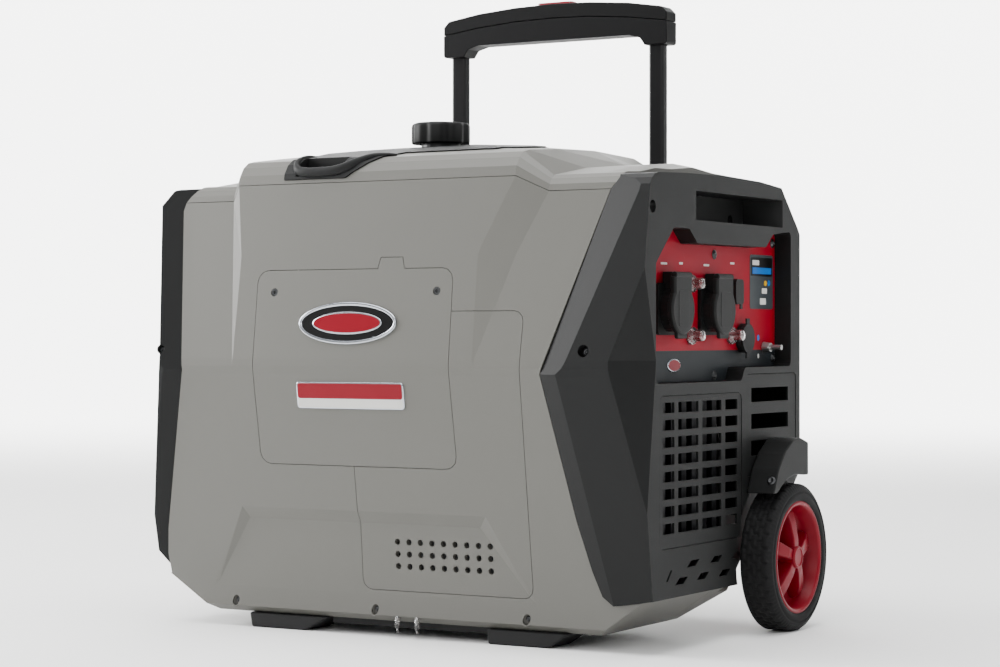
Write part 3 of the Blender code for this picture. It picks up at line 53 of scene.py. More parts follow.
# ---- the surfaces that detail sits on
CREASE_Z = 0.287            # the front is furthest out here and leans in above and below
FRONT_Y = -0.198
UPPER_TILT = 0.1418
LOWER_TILT = 0.137
END_X = 0.309               # end faces
PANEL_X = 0.2895            # face of the control panel
SPLIT_Z = 0.3045            # the panel is red above this and slate below
HUB_Y, HUB_Z = 0.112, 0.080
WHEEL_IN, WHEEL_OUT = 0.3045, 0.3445
RIM_R = 0.060
SOCKETS = (("left", -0.1036), ("right", -0.0046))
SOCKET_Z = 0.347
LID_X = (0.3038, 0.3103)
BREAKERS = (("upper", -0.0485, 0.3739), ("lower_left", -0.0485, 0.3200),
            ("lower_right", 0.0490, 0.3200))
CAP_X, CAP_LOW, CAP_HIGH, CAP_R = -0.045, 0.5345, 0.5590, 0.033
BADGE = (-0.042, 0.333)


def linear(code):
    """A colour given as an sRGB hex code, as linear red, green, blue and alpha."""
    parts = [int(code[k:k + 2], 16) / 255 for k in (1, 3, 5)]
    return (*(p / 12.92 if p <= 0.04045 else ((p + 0.055) / 1.055) ** 2.4 for p in parts), 1.0)


# ---- sizes and colours a user may change
def colour_property(name, description, code):
    return bpy.props.FloatVectorProperty(
        name=name, description=description, subtype="COLOR", size=4, min=0.0, max=1.0,
        default=linear(code))


def length_property(name, description, default, low, high):
    return bpy.props.FloatProperty(
        name=name, description=description, default=default, min=low, max=high,
        unit="LENGTH", subtype="DISTANCE")


class GeneratorColours(bpy.types.PropertyGroup):
    body: colour_property("Body", "Warm grey of the covers", "#565550")
    frame: colour_property("End frames", "Charcoal of the end frames and grilles", "#0b0c0c")
    accent: colour_property("Panel", "Red of the control panel", "#86001a")
    slate: colour_property("Lower panel", "Slate of the lower control panel", "#1d2124")
    wheel: colour_property("Rims", "Red of the wheel rims", "#740016")
    handle: colour_property("Handle", "Black of the telescopic handle", "#060607")


class GeneratorSizes(bpy.types.PropertyGroup):
    edge: length_property("Edge radius", "Rounding of the sharp edges", 0.0007, 0.0001, 0.002)
    crease: length_property("Crease radius", "Rounding of the soft creases", 0.0030, 0.0005, 0.006)
    tread: length_property("Tread depth", "Depth of the grooves in the tyres", 0.0016, 0.0, 0.003)
    lobe: length_property("Cap lobe", "Depth of the grooves in the filler cap", 0.0026, 0.0, 0.003)
    rim_bevel: length_property("Spoke edge", "Rounding of the spokes", 0.0010, 0.0002, 0.002)


def colours():
    return bpy.context.scene.generator_colours


def sizes():
    return bpy.context.scene.generator_sizes


# ---- materials
def add(tree, kind, inputs=None, **settings):
    """A node with its settings, and its inputs set or linked. A shader node has a short kind."""
    full = kind.startswith(("GeometryNode", "FunctionNode", "NodeGroup"))
    node = tree.nodes.new(kind if full else "ShaderNode" + kind)
    for name, value in settings.items():
        setattr(node, name, value)
    for key, value in (inputs or {}).items():
        if isinstance(value, bpy.types.NodeSocket):
            tree.links.new(value, node.inputs[key])
        else:
            node.inputs[key].default_value = value
    return node


def started(name, roughness, metallic=0.0, ior=None, coat=0.0, gloss=0.5):
    """A material with its even values set, and what it takes to give it a pattern. gloss lowers
    the mirror share of dull blacks and prints."""
    made = bpy.data.materials.new(name)
    made.use_nodes = True
    tree = made.node_tree
    shader = tree.nodes["Principled BSDF"]
    shader.inputs["Roughness"].default_value = roughness
    shader.inputs["Metallic"].default_value = metallic
    shader.inputs["Coat Weight"].default_value = coat
    shader.inputs["Specular IOR Level"].default_value = gloss
    if ior:
        shader.inputs["IOR"].default_value = ior
    place = add(tree, "TexCoord").outputs["Object"]
    return made, tree, shader, place


def shaded(colour, share):
    """The colour, brighter or darker by a share."""
    return (*(min(1.0, c * share) for c in colour[:3]), 1.0)


def grained(tree, shader, place, colour, spread, patch, grain, depth, rough=None):
    """Slow colour change over patches, and a fine grain in the height and the roughness."""
    slow = add(tree, "TexNoise", {"Vector": place, "Scale": 1 / patch, "Detail": 3.0})
    mixed = add(tree, "Mix", {0: slow.outputs["Fac"], 6: shaded(colour, 1 - spread),
                              7: shaded(colour, 1 + spread)}, data_type="RGBA")
    tree.links.new(mixed.outputs[2], shader.inputs["Base Color"])
    fine = add(tree, "TexNoise", {"Vector": place, "Scale": 1 / grain, "Detail": 2.0,
                                  "Roughness": 0.6})
    bump = add(tree, "Bump", {"Height": fine.outputs["Fac"], "Distance": depth, "Strength": 1.0})
    tree.links.new(bump.outputs["Normal"], shader.inputs["Normal"])
    if rough:
        spot = add(tree, "MapRange", {"Value": fine.outputs["Fac"], "To Min": rough[0],
                                      "To Max": rough[1]})
        tree.links.new(spot.outputs["Result"], shader.inputs["Roughness"])
    return mixed, fine


def make_materials():
    made = {}
    c = colours()

    # Injection-moulded ABS with a spark-eroded texture: satin, very slightly mottled, its
    # 0.2 mm grain drawn at 0.9 mm so that it shows as a fine tooth in the highlights.
    made["abs_grey"], *parts = started("moulded_abs_spark_eroded_grey", 0.50, ior=1.54)
    grained(*parts, c.body, 0.018, 0.12, 0.9 * MM, 0.05 * MM, (0.44, 0.56))

    # Glass-filled nylon, moulded with the same texture: charcoal, duller on its flats.
    made["nylon_black"], *parts = started("moulded_glass_filled_nylon_charcoal", 0.55, ior=1.50,
                                           gloss=0.22)
    grained(*parts, c.frame, 0.05, 0.08, 1.0 * MM, 0.07 * MM, (0.48, 0.62))

    # Polypropylene, moulded smooth: the tank, the ducts and the recoil parts, a waxy black.
    made["pp_black"], *parts = started("moulded_polypropylene_black", 0.42, ior=1.49)
    grained(*parts, linear("#1c1c1d"), 0.06, 0.05, 1.2 * MM, 0.05 * MM, (0.36, 0.48))

    # Soft-touch coated nylon of the handle: even and nearly matt, with a faint sheen.
    made["handle_black"], *parts = started("moulded_soft_touch_nylon_black", 0.55, ior=1.45,
                                            gloss=0.16)
    grained(*parts, c.handle, 0.05, 0.04, 0.9 * MM, 0.04 * MM, (0.46, 0.60))

    # Glossy ABS for the red button and knob: clear highlights over a faint flow mottle.
    made["abs_red"], *parts = started("moulded_gloss_abs_red", 0.28, ior=1.54, coat=0.2)
    grained(*parts, c.accent, 0.04, 0.03, 1.0 * MM, 0.02 * MM, (0.24, 0.34))

    # Polypropylene rims, satin from a lightly textured tool, a little darker in the dish.
    made["rim_red"], *parts = started("moulded_polypropylene_rim_red", 0.40, ior=1.49, gloss=0.2)
    grained(*parts, c.wheel, 0.05, 0.03, 0.9 * MM, 0.04 * MM, (0.32, 0.44))

    # The panel: ABS printed in two colours under a satin lacquer, split on a straight line.
    made["panel"], tree, shader, place = started("lacquered_abs_two_colour_print", 0.42, ior=1.50,
                                                   gloss=0.10)
    height = add(tree, "SeparateXYZ", {"Vector": place}).outputs["Z"]
    above = add(tree, "Math", {0: height, 1: SPLIT_Z}, operation="GREATER_THAN")
    slow = add(tree, "TexNoise", {"Vector": place, "Scale": 30.0, "Detail": 2.0})
    red = add(tree, "Mix", {0: slow.outputs["Fac"], 6: shaded(c.accent, 0.94),
                            7: shaded(c.accent, 1.06)}, data_type="RGBA")
    slate = add(tree, "Mix", {0: slow.outputs["Fac"], 6: shaded(c.slate, 0.95),
                              7: shaded(c.slate, 1.05)}, data_type="RGBA")
    both = add(tree, "Mix", {0: above.outputs[0], 6: slate.outputs[2], 7: red.outputs[2]},
               data_type="RGBA")
    tree.links.new(both.outputs[2], shader.inputs["Base Color"])
    peel = add(tree, "TexNoise", {"Vector": place, "Scale": 700.0, "Detail": 1.0})
    bump = add(tree, "Bump", {"Height": peel.outputs["Fac"], "Distance": 0.02 * MM})
    tree.links.new(bump.outputs["Normal"], shader.inputs["Normal"])

    # Vulcanised carbon-black tyre rubber: matt, greyed by bloom and dust in its low spots.
    made["tyre"], *parts = started("vulcanised_tyre_rubber", 0.80, ior=1.52, gloss=0.25)
    grained(*parts, linear("#0d0d0e"), 0.14, 0.02, 0.8 * MM, 0.08 * MM, (0.70, 0.90))

    # Soft moulded rubber of the feet and the outlet flaps: dull black with a fine tooth.
    made["rubber"], *parts = started("moulded_soft_rubber", 0.62, ior=1.52, gloss=0.3)
    grained(*parts, linear("#0a0a0b"), 0.10, 0.02, 0.8 * MM, 0.05 * MM, (0.54, 0.70))

    # Clear PVC, dipped and so smooth: it shows as bright rims and a pale body.
    made["clear_pvc"], tree, shader, place = started("dipped_clear_pvc", 0.08, ior=1.53)
    shader.inputs["Transmission Weight"].default_value = 0.97
    cloud = add(tree, "TexNoise", {"Vector": place, "Scale": 260.0, "Detail": 2.0})
    tint = add(tree, "Mix", {0: cloud.outputs["Fac"], 6: linear("#e9e6e2"), 7: linear("#ffffff")},
               data_type="RGBA")
    tree.links.new(tint.outputs[2], shader.inputs["Base Color"])

    # Powder-coated steel tube: semi-gloss black with orange peel 1 mm across.
    made["powder_coat"], *parts = started("powder_coated_steel_black", 0.42, ior=1.50, gloss=0.2)
    grained(*parts, linear("#0b0b0c"), 0.05, 0.05, 1.1 * MM, 0.05 * MM, (0.30, 0.42))

    # Zinc-plated steel: bright grey with a soft mottle from the plating bath.
    made["zinc"], *parts = started("zinc_plated_steel", 0.34, metallic=1.0)
    grained(*parts, linear("#a9aaa8"), 0.10, 0.006, 0.7 * MM, 0.04 * MM, (0.26, 0.44))

    # Black-oxide steel screws: dark with a dull metal shine.
    made["oxide"], *parts = started("black_oxide_steel", 0.38, metallic=1.0)
    grained(*parts, linear("#4b4c4d"), 0.10, 0.004, 0.6 * MM, 0.03 * MM, (0.30, 0.46))

    # Sand-cast aluminium: pale grey and pitted, its 0.5 mm sand grain drawn at 1.2 mm.
    made["cast_alu"], *parts = started("sand_cast_aluminium", 0.55, metallic=1.0)
    grained(*parts, linear("#9c9ea1"), 0.08, 0.02, 1.2 * MM, 0.20 * MM, (0.48, 0.66))

    # Black-anodised aluminium of the heat sink: dark, with a soft metal sheen on its fins.
    made["anodised"], *parts = started("black_anodised_aluminium", 0.50, metallic=1.0)
    grained(*parts, linear("#1e1f21"), 0.08, 0.02, 0.9 * MM, 0.04 * MM, (0.42, 0.58))

    # Varnished copper winding: the 1 mm wires lie side by side round the stator. Its tone follows
    # the wires' height: painted shade darkens the grooves between wires and painted highlight
    # lightens their crests.
    made["copper"], tree, shader, place = started("varnished_copper_winding", 0.35, metallic=1.0)
    wires = add(tree, "TexWave", {"Vector": place, "Scale": 2 * math.pi / 0.020,
                                  "Distortion": 0.4}, bands_direction="Y")
    # painted shade in the grooves between wires, painted highlight on their crests
    tone = add(tree, "Mix", {0: wires.outputs["Fac"], 6: linear("#6d3a1c"), 7: linear("#c27a45")},
               data_type="RGBA")
    tree.links.new(tone.outputs[2], shader.inputs["Base Color"])
    bump = add(tree, "Bump", {"Height": wires.outputs["Fac"], "Distance": 0.4 * MM})
    tree.links.new(bump.outputs["Normal"], shader.inputs["Normal"])

    # Chrome-plated ABS, satin: the rims of the badges, with fine brush lines along their length.
    made["chrome"], tree, shader, place = started("satin_chrome_plated_abs", 0.25, metallic=1.0)
    stretched = add(tree, "Mapping", {"Vector": place, "Scale": (60.0, 900.0, 900.0)})
    lines = add(tree, "TexNoise", {"Vector": stretched.outputs["Vector"], "Scale": 1.0,
                                   "Detail": 2.0})
    tone = add(tree, "Mix", {0: lines.outputs["Fac"], 6: linear("#a4a8ae"), 7: linear("#c8ccd2")},
               data_type="RGBA")
    tree.links.new(tone.outputs[2], shader.inputs["Base Color"])

    # Printed polyester films of the badges and labels: smooth, satin, faintly uneven inks.
    for key, code in (("film_red", "#780016"), ("film_white", "#c9c8c4"), ("film_black", "#060606"),
                      ("film_slate", "#34393c"), ("film_blue", "#0b5fae"),
                      ("film_yellow", "#c99a08")):
        made[key], *parts = started("printed_polyester_" + key[5:], 0.42, ior=1.50, gloss=0.2)
        grained(*parts, linear(code), 0.03, 0.01, 0.6 * MM, 0.01 * MM, (0.30, 0.40))
    return made


MATERIALS = {}


# ---- rounding
def rounding_group():
    """Geometry nodes that shade a mesh smooth and weigh its edges: soft creases round wide and
    sharp edges narrow."""
    name = "edge_rounding"
    if name in bpy.data.node_groups:
        return bpy.data.node_groups[name]
    group = bpy.data.node_groups.new(name, "GeometryNodeTree")
    group.interface.new_socket("Geometry", in_out="INPUT", socket_type="NodeSocketGeometry")
    share = group.interface.new_socket("Sharp share", in_out="INPUT", socket_type="NodeSocketFloat")
    share.default_value = 0.25
    group.interface.new_socket("Geometry", in_out="OUTPUT", socket_type="NodeSocketGeometry")
    given = add(group, "NodeGroupInput").outputs
    smooth = add(group, "GeometryNodeSetShadeSmooth", {0: given[0]}).outputs[0]
    angle = add(group, "GeometryNodeInputMeshEdgeAngle").outputs[0]
    creased, sharp = (add(group, "FunctionNodeCompare", {0: angle, 1: math.radians(limit)},
                          operation="GREATER_THAN").outputs[0] for limit in (2.5, 50))
    size = add(group, "GeometryNodeSwitch", {"Switch": sharp, "False": 1.0, "True": given[1]},
               input_type="FLOAT").outputs[0]
    weight = add(group, "GeometryNodeSwitch", {"Switch": creased, "False": 0.0, "True": size},
                 input_type="FLOAT").outputs[0]
    store = add(group, "GeometryNodeStoreNamedAttribute",
                {"Geometry": smooth, "Name": "bevel_weight_edge", "Value": weight},
                data_type="FLOAT", domain="EDGE")
    add(group, "NodeGroupOutput", {0: store.outputs[0]})
    return group


def soften(obj, edge, crease=None, segments=2, flatten=0.3, cutters=()):
    """Rounds a piece's edges with modifiers, after cutting its screw pockets."""
    weld = obj.modifiers.new("weld", "WELD")
    weld.merge_threshold = 2e-6
    for number, cutter in enumerate(cutters):
        cut = obj.modifiers.new(f"pocket_{number}", "BOOLEAN")
        cut.operation, cut.solver, cut.object = "DIFFERENCE", "EXACT", cutter
    if flatten:
        merge = obj.modifiers.new("merge_flats", "DECIMATE")
        merge.decimate_type, merge.angle_limit = "DISSOLVE", math.radians(flatten)
    crease = crease or edge
    nodes = obj.modifiers.new("edge_rounding", "NODES")
    nodes.node_group = rounding_group()
    nodes["Socket_1"] = edge / crease
    bevel = obj.modifiers.new("bevel", "BEVEL")
    bevel.limit_method, bevel.width, bevel.segments = "WEIGHT", crease, segments
    bevel.use_clamp_overlap, bevel.miter_outer = True, "MITER_ARC"
    bevel.harden_normals = True
    normals = obj.modifiers.new("flat_faces_first", "WEIGHTED_NORMAL")
    normals.keep_sharp = False
    normals.mode, normals.weight = "FACE_AREA", 100


def finish_node(node, key, edge=None, crease=None, segments=2, flatten=0.3, cutters=()):
    """Keeps a CAD node and gives it its material and its rounding."""
    obj = frame["nodes"][node]
    obj.data.materials.clear()
    obj.data.materials.append(MATERIALS[key])
    soften(obj, edge or sizes().edge, crease, segments, flatten, cutters)
    return obj


# ---- mesh building
def grown(outline, distance):
    """The outline with each side moved out by the distance."""
    area = sum(a[0] * b[1] - b[0] * a[1] for a, b in zip(outline, [*outline[1:], outline[0]]))
    distance = math.copysign(distance, area) * (1 if distance >= 0 else -1)
    points = [Vector(p) for p in outline]
    moved = []
    for k, point in enumerate(points):
        before = (point - points[k - 1]).normalized()
        after = (points[(k + 1) % len(points)] - point).normalized()
        first = Vector((before.y, -before.x))
        second = Vector((after.y, -after.x))
        half = (first + second).normalized()
        moved.append(point + half * distance / max(0.3, half.dot(second)))
    return [tuple(p) for p in moved]


def rounded(outline, radius, steps=5):
    """The outline with its corners rounded."""
    points = [Vector(p) for p in outline]
    made = []
    for k, point in enumerate(points):
        back = points[k - 1] - point
        ahead = points[(k + 1) % len(points)] - point
        reach = min(radius, 0.49 * back.length, 0.49 * ahead.length)
        start, stop = point + back.normalized() * reach, point + ahead.normalized() * reach
        for step in range(steps + 1):
            t = step / steps
            made.append(tuple(start * (1 - t) ** 2 + point * 2 * t * (1 - t) + stop * t * t))
    return made


def rectangle(low_u, low_v, high_u, high_v, radius=0.0, steps=5):
    corners = [(low_u, low_v), (high_u, low_v), (high_u, high_v), (low_u, high_v)]
    return rounded(corners, radius, steps) if radius else corners


def oval(u, v, half_u, half_v, steps=48):
    turn = [2 * math.pi * k / steps for k in range(steps)]
    return [(u + half_u * math.cos(a), v + half_v * math.sin(a)) for a in turn]


def lofted(rings, closed=False):
    """A mesh through rings of equal length, with flat ends."""
    bm = bmesh.new()
    made = [[bm.verts.new(p) for p in ring] for ring in rings]
    pairs = list(zip(made, made[1:])) + ([(made[-1], made[0])] if closed else [])
    for first, second in pairs:
        for k in range(len(first)):
            after = (k + 1) % len(first)
            bm.faces.new((first[k], first[after], second[after], second[k]))
    if not closed:
        bm.faces.new(list(reversed(made[0])))
        bm.faces.new(made[-1])
    bmesh.ops.recalc_face_normals(bm, faces=bm.faces)
    return bm


def plate(outline, place, levels):
    """A solid over an outline: each level is how far the outline grows and how far out it lies."""
    return lofted([[place(u, v, out) for u, v in grown(outline, wider)] for wider, out in levels])


def turned(profile, centre, direction, steps=48, arms=None):
    """A solid of revolution: profile holds (radius, distance along the direction) from one
    pole to the other. arms changes the radius with the angle."""
    turn = Vector(direction).to_track_quat("Z", "Y").to_matrix()
    bm = bmesh.new()
    rings = []
    for radius, along in profile:
        if radius < 1e-7:
            rings.append([bm.verts.new(Vector(centre) + turn @ Vector((0, 0, along)))])
            continue
        ring = []
        for k in range(steps):
            angle = 2 * math.pi * k / steps
            r = arms(radius, along, angle) if arms else radius
            point = Vector((r * math.cos(angle), r * math.sin(angle), along))
            ring.append(bm.verts.new(Vector(centre) + turn @ point))
        rings.append(ring)
    for first, second in zip(rings, rings[1:]):
        for k in range(steps):
            after = (k + 1) % steps
            quad = [first[k % len(first)], first[after % len(first)],
                    second[after % len(second)], second[k % len(second)]]
            corners = list(dict.fromkeys(quad))
            if len(corners) > 2:
                bm.faces.new(corners)
    if len(rings[0]) > 1 and len(rings[-1]) > 1 and profile[0] != profile[-1]:
        bm.faces.new(list(reversed(rings[0])))
        bm.faces.new(rings[-1])
    bmesh.ops.remove_doubles(bm, verts=bm.verts, dist=1e-7)
    bmesh.ops.recalc_face_normals(bm, faces=bm.faces)
    return bm


def joined(*meshes):
    """Several separate closed meshes as one."""
    whole = bmesh.new()
    for part in meshes:
        copy = bpy.data.meshes.new("part")
        part.to_mesh(copy)
        whole.from_mesh(copy)
        bpy.data.meshes.remove(copy)
        part.free()
    return whole


def piece(name, bm, key, body, edge=0.0, crease=None, segments=2, replaces=(), smooth=True):
    """A new piece, made of the mesh, riding on a body."""
    mesh = bpy.data.meshes.new(name)
    bm.to_mesh(mesh)
    bm.free()
    mesh.polygons.foreach_set("use_smooth", [smooth] * len(mesh.polygons))
    mesh.materials.append(MATERIALS[key])
    obj = bpy.data.objects.new(name, mesh)
    bpy.context.scene.collection.objects.link(obj)
    if edge:
        soften(obj, edge, crease, segments, flatten=0)
    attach(obj, body)
    if replaces:
        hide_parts(*replaces)
    return obj


def cutter(name, bm, body):
    """A hidden solid that a Boolean modifier takes away."""
    mesh = bpy.data.meshes.new(name)
    bm.to_mesh(mesh)
    bm.free()
    obj = bpy.data.objects.new(name, mesh)
    bpy.context.scene.collection.objects.link(obj)
    obj.display_type = "WIRE"
    obj.hide_render = True
    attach(obj, body)
    return obj


def front_y(z):
    return FRONT_Y + (UPPER_TILT if z > CREASE_Z else LOWER_TILT) * abs(z - CREASE_Z)


def front_normal(z):
    lean = UPPER_TILT if z > CREASE_Z else -LOWER_TILT
    return Vector((0, -1, lean)).normalized()


def on_front(tone_z):
    """A place on the tilted front, for a piece that lies about the height given."""
    normal = front_normal(tone_z)

    def place(u, v, out):
        return Vector((u, front_y(v), v)) + normal * out
    return place


def on_panel(u, v, out):
    return Vector((PANEL_X + out, u, v))


# ---- operators
class PieceOperator:
    """What every build step shares."""
    bl_options = {"REGISTER", "UNDO"}


def pocket_profile(radius, depth):
    """A thin cup, open at the top."""
    wall = 1.2 * MM
    return [(0.0, -depth - wall), (radius + wall, -depth - wall), (radius + wall, -0.4 * MM),
            (radius, -0.4 * MM), (radius, -depth), (0.0, -depth)]


def slanted(radius, along, angle):
    """Turns a circle into an oval that leans to the right."""
    return radius * (1.0 + 0.55 * abs(math.cos(angle - math.radians(60))) ** 2)


def pocket(name, centre, direction, body, radius=0.0052, depth=0.010, squeeze=None,
           key="nylon_black"):
    """A screw down a moulded well: returns the cutter for the wall that it sinks into."""
    hole = turned([(0.0, -depth - 0.5 * MM), (radius, -depth - 0.5 * MM), (radius, 0.012),
                   (0.0, 0.012)], centre, direction, 32, squeeze)
    cup = turned(pocket_profile(radius, depth), centre, direction, 32, squeeze)
    piece(name + "_well", cup, key, body)
    head = turned([(0.0, -depth), (0.72 * radius, -depth), (0.72 * radius, -depth + 1.6 * MM),
                   (0.55 * radius, -depth + 2.2 * MM), (0.30 * radius, -depth + 2.2 * MM),
                   (0.26 * radius, -depth + 0.8 * MM), (0.0, -depth + 0.8 * MM)],
                  centre, direction, 24)
    piece(name + "_screw", head, "oxide", body)
    return cutter(name + "_cut", hole, body)


class BuildCovers(PieceOperator, bpy.types.Operator):
    """Finish the grey covers, the vent panel and the service cover"""
    bl_idname = "generator.covers"
    bl_label = "Covers"

    def execute(self, context):
        wide = sizes().crease
        lows = []
        for number, x in enumerate((-0.2090, -0.0260, 0.1595)):
            normal, z = Vector((0, -1, -LOWER_TILT)), 0.0290
            lows.append(pocket(f"low_pocket_{number}", (x, front_y(z), z), normal, "body",
                               radius=0.0040, depth=0.0060, squeeze=slanted, key="abs_grey"))
        for name, bottom in (("front_cover", True), ("back_cover", False), ("top_cover", False),
                             ("service_cover", False)):
            finish_node(name, "abs_grey", crease=wide, segments=3, cutters=lows if bottom else ())
        finish_node("vent_panel", "abs_grey", edge=0.5 * MM, flatten=0)
        return {"FINISHED"}


class BuildEndFrames(PieceOperator, bpy.types.Operator):
    """Finish the end frames, their grilles and the wheel guards"""
    bl_idname = "generator.end_frames"
    bl_label = "End frames and grilles"

    def execute(self, context):
        wide = sizes().crease
        lean = Vector((0, -0.893, 0.45))
        front = Vector((0, -1, UPPER_TILT))
        control = [
            pocket("frame_pocket_front", (0.2464, -0.2016, 0.3048), front, "body", radius=0.0062,
                   depth=0.0095),
            pocket("frame_pocket_top", (END_X, -0.1721, 0.4484), (1, 0, 0), "body", radius=0.0064,
                   depth=0.0100),
            pocket("grip_pocket", (0.2690, 0.0922, 0.4449), (1, 0, 0), "body", radius=0.0062,
                   depth=0.0080),
        ]
        exhaust = [
            pocket("frame_pocket_exhaust", (-0.2840, -0.1992, 0.3051), (0.27, -0.945, 0.184),
                   "body", radius=0.0042, depth=0.0060),
        ]
        finish_node("control_end_frame", "nylon_black", crease=wide, segments=3, flatten=0,
                    cutters=control)
        finish_node("exhaust_end_frame", "nylon_black", crease=wide, segments=3, flatten=0,
                    cutters=exhaust)
        for side, name in ((1, "right"), (-1, "left")):
            head = [(0.0, -0.0010), (0.0048, -0.0010), (0.0048, 0.0004), (0.0040, 0.0014),
                    (0.0020, 0.0018), (0.0017, 0.0004), (0.0, 0.0004)]
            piece("guard_screw_" + name, turned(head, (side * 0.3350, 0.0547, 0.1654), lean, 24),
                  "oxide", "body")
        for name in ("intake_grille", "louvre_panel", "exhaust_grille"):
            finish_node(name, "nylon_black", edge=0.5 * MM, flatten=0)
        for name in ("fender_left", "fender_right"):
            finish_node(name, "nylon_black", edge=1.5 * MM, crease=4.0 * MM, segments=4)
        return {"FINISHED"}


class BuildTopTray(PieceOperator, bpy.types.Operator):
    """Finish the black tray over the top with its hand hold"""
    bl_idname = "generator.top_tray"
    bl_label = "Top tray"

    def execute(self, context):
        finish_node("top_tray", "nylon_black", crease=2.0 * MM, segments=3)
        self.lip()
        return {"FINISHED"}

    def lip(self):
        """A rolled lip round the front of the hand hold, rising to the tray at its right."""
        path = [(-0.1285, -0.1240, 0.5155), (-0.1295, -0.1400, 0.5140), (-0.1290, -0.1560, 0.5085),
                (-0.1250, -0.1660, 0.5005), (-0.1150, -0.1695, 0.4962), (-0.0950, -0.1700, 0.4955),
                (-0.0750, -0.1695, 0.4965), (-0.0600, -0.1675, 0.5000), (-0.0480, -0.1615, 0.5060),
                (-0.0360, -0.1535, 0.5112), (-0.0220, -0.1460, 0.5130), (-0.0120, -0.1415, 0.5128)]
        points = smooth_path([Vector(p) for p in path], 6)
        rings = []
        for k, point in enumerate(points):
            ahead = (points[min(k + 1, len(points) - 1)] - points[max(k - 1, 0)]).normalized()
            level = Vector((-ahead.y, ahead.x, 0)).normalized()
            raised = ahead.cross(level).normalized()
            if raised.z < 0:
                raised = -raised
            share = min(1.0, 4.0 * k / len(points), 3.0 * (len(points) - 1 - k) / len(points))
            wide, tall = 0.0026 + 0.0012 * share, 0.0012 + 0.0042 * share
            rings.append([point + level * wide * math.cos(a) + raised * tall * math.sin(a)
                          for a in [2 * math.pi * s / 16 for s in range(16)]])
        piece("hand_hold_lip", lofted(rings), "nylon_black", "body")


class BuildPanel(PieceOperator, bpy.types.Operator):
    """Finish the control panel, its outlets, breakers and earth terminal"""
    bl_idname = "generator.panel"
    bl_label = "Control panel"

    def execute(self, context):
        finish_node("control_panel", "panel", edge=0.4 * MM, flatten=0)
        for name, y in SOCKETS:
            finish_node(f"socket_{name}_body", "nylon_black", edge=0.6 * MM)
            self.lid(name, y)
        for name, y, z in BREAKERS:
            self.breaker(name, y, z)
        for node, key, edge in (
            ("usb_socket", "nylon_black", 0.4), ("dc_socket", "nylon_black", 0.4),
            ("usb_cover", "rubber", 0.8), ("dc_cover", "rubber", 0.8),
            ("ground_stud", "zinc", 0.3), ("ground_nut", "zinc", 0.4),
        ):
            finish_node(node, key, edge=edge * MM)
        return {"FINISHED"}

    def lid(self, name, y):
        """A round lid with a square shoulder at its hinge and a thumb tab below."""
        low, high = LID_X
        shoulder, reach = 0.0195, 0.0258
        start = math.asin(min(1.0, shoulder / reach))
        centre = SOCKET_Z - 0.0006
        arc = []
        for k in range(37):
            angle = math.pi / 2 + start + (2 * math.pi - 2 * start) * k / 36
            point = (y + reach * math.cos(angle), centre + reach * math.sin(angle))
            arc.append(point)
        outline = [*arc, (y + shoulder, 0.3790), (y + shoulder - 0.003, 0.3815),
                   (y - shoulder + 0.003, 0.3815), (y - shoulder, 0.3790)]

        def place(u, v, out):
            return Vector((out, u, v))
        skirt = plate(outline, place, [(-0.0002, low), (0.0, low + 0.0005), (0.0, high - 0.0022),
                                       (-0.0008, high - 0.0010), (-0.0022, high - 0.0003)])
        barrel = turned([(0.0, -0.018), (0.0030, -0.018), (0.0034, -0.0174), (0.0034, 0.0174),
                         (0.0030, 0.018), (0.0, 0.018)], (0.3074, y, 0.3815), (0, 1, 0), 24)
        tab = plate(rectangle(y - 0.0115, 0.3168, y + 0.0115, 0.3300, 0.003), place,
                    [(-0.0004, low + 0.0004), (0.0, low + 0.0010), (0.0, high - 0.0030),
                     (-0.0008, high - 0.0022)])
        boss = plate(rectangle(y - 0.0125, 0.3290, y + 0.0125, 0.3660, 0.004), place,
                     [(0.0, high - 0.0020), (0.0, high - 0.0004), (-0.0006, high)])
        piece(f"socket_{name}_cover", joined(skirt, barrel, tab, boss), "nylon_black",
              "lid_" + name, edge=0.4 * MM, replaces=[f"socket_{name}_lid"])

    def breaker(self, name, y, z):
        """A clear boot with a ring at its foot, over a red button."""
        centre = (PANEL_X, y, z)
        body = "reset_" + name
        boot = [(0.0088, -0.0002), (0.0092, 0.0003), (0.0092, 0.0036), (0.0086, 0.0050),
                (0.0070, 0.0056), (0.0062, 0.0068), (0.0060, 0.0135), (0.0056, 0.0152),
                (0.0040, 0.0162), (0.0, 0.0164),
                (0.0, 0.0154), (0.0036, 0.0152), (0.0048, 0.0144), (0.0051, 0.0132),
                (0.0053, 0.0062), (0.0062, 0.0048), (0.0080, 0.0040), (0.0082, -0.0002),
                (0.0088, -0.0002)]
        piece(f"breaker_boot_{name}", turned(boot, centre, (1, 0, 0), 40), "clear_pvc", body,
              replaces=["breaker_" + name])
        button = [(0.0, -0.0095), (0.0075, -0.0095), (0.0075, 0.0012), (0.0068, 0.0020),
                  (0.0044, 0.0020), (0.0044, 0.0120), (0.0038, 0.0128), (0.0, 0.0130)]
        piece(f"breaker_button_{name}", turned(button, centre, (1, 0, 0), 32), "film_red", body)


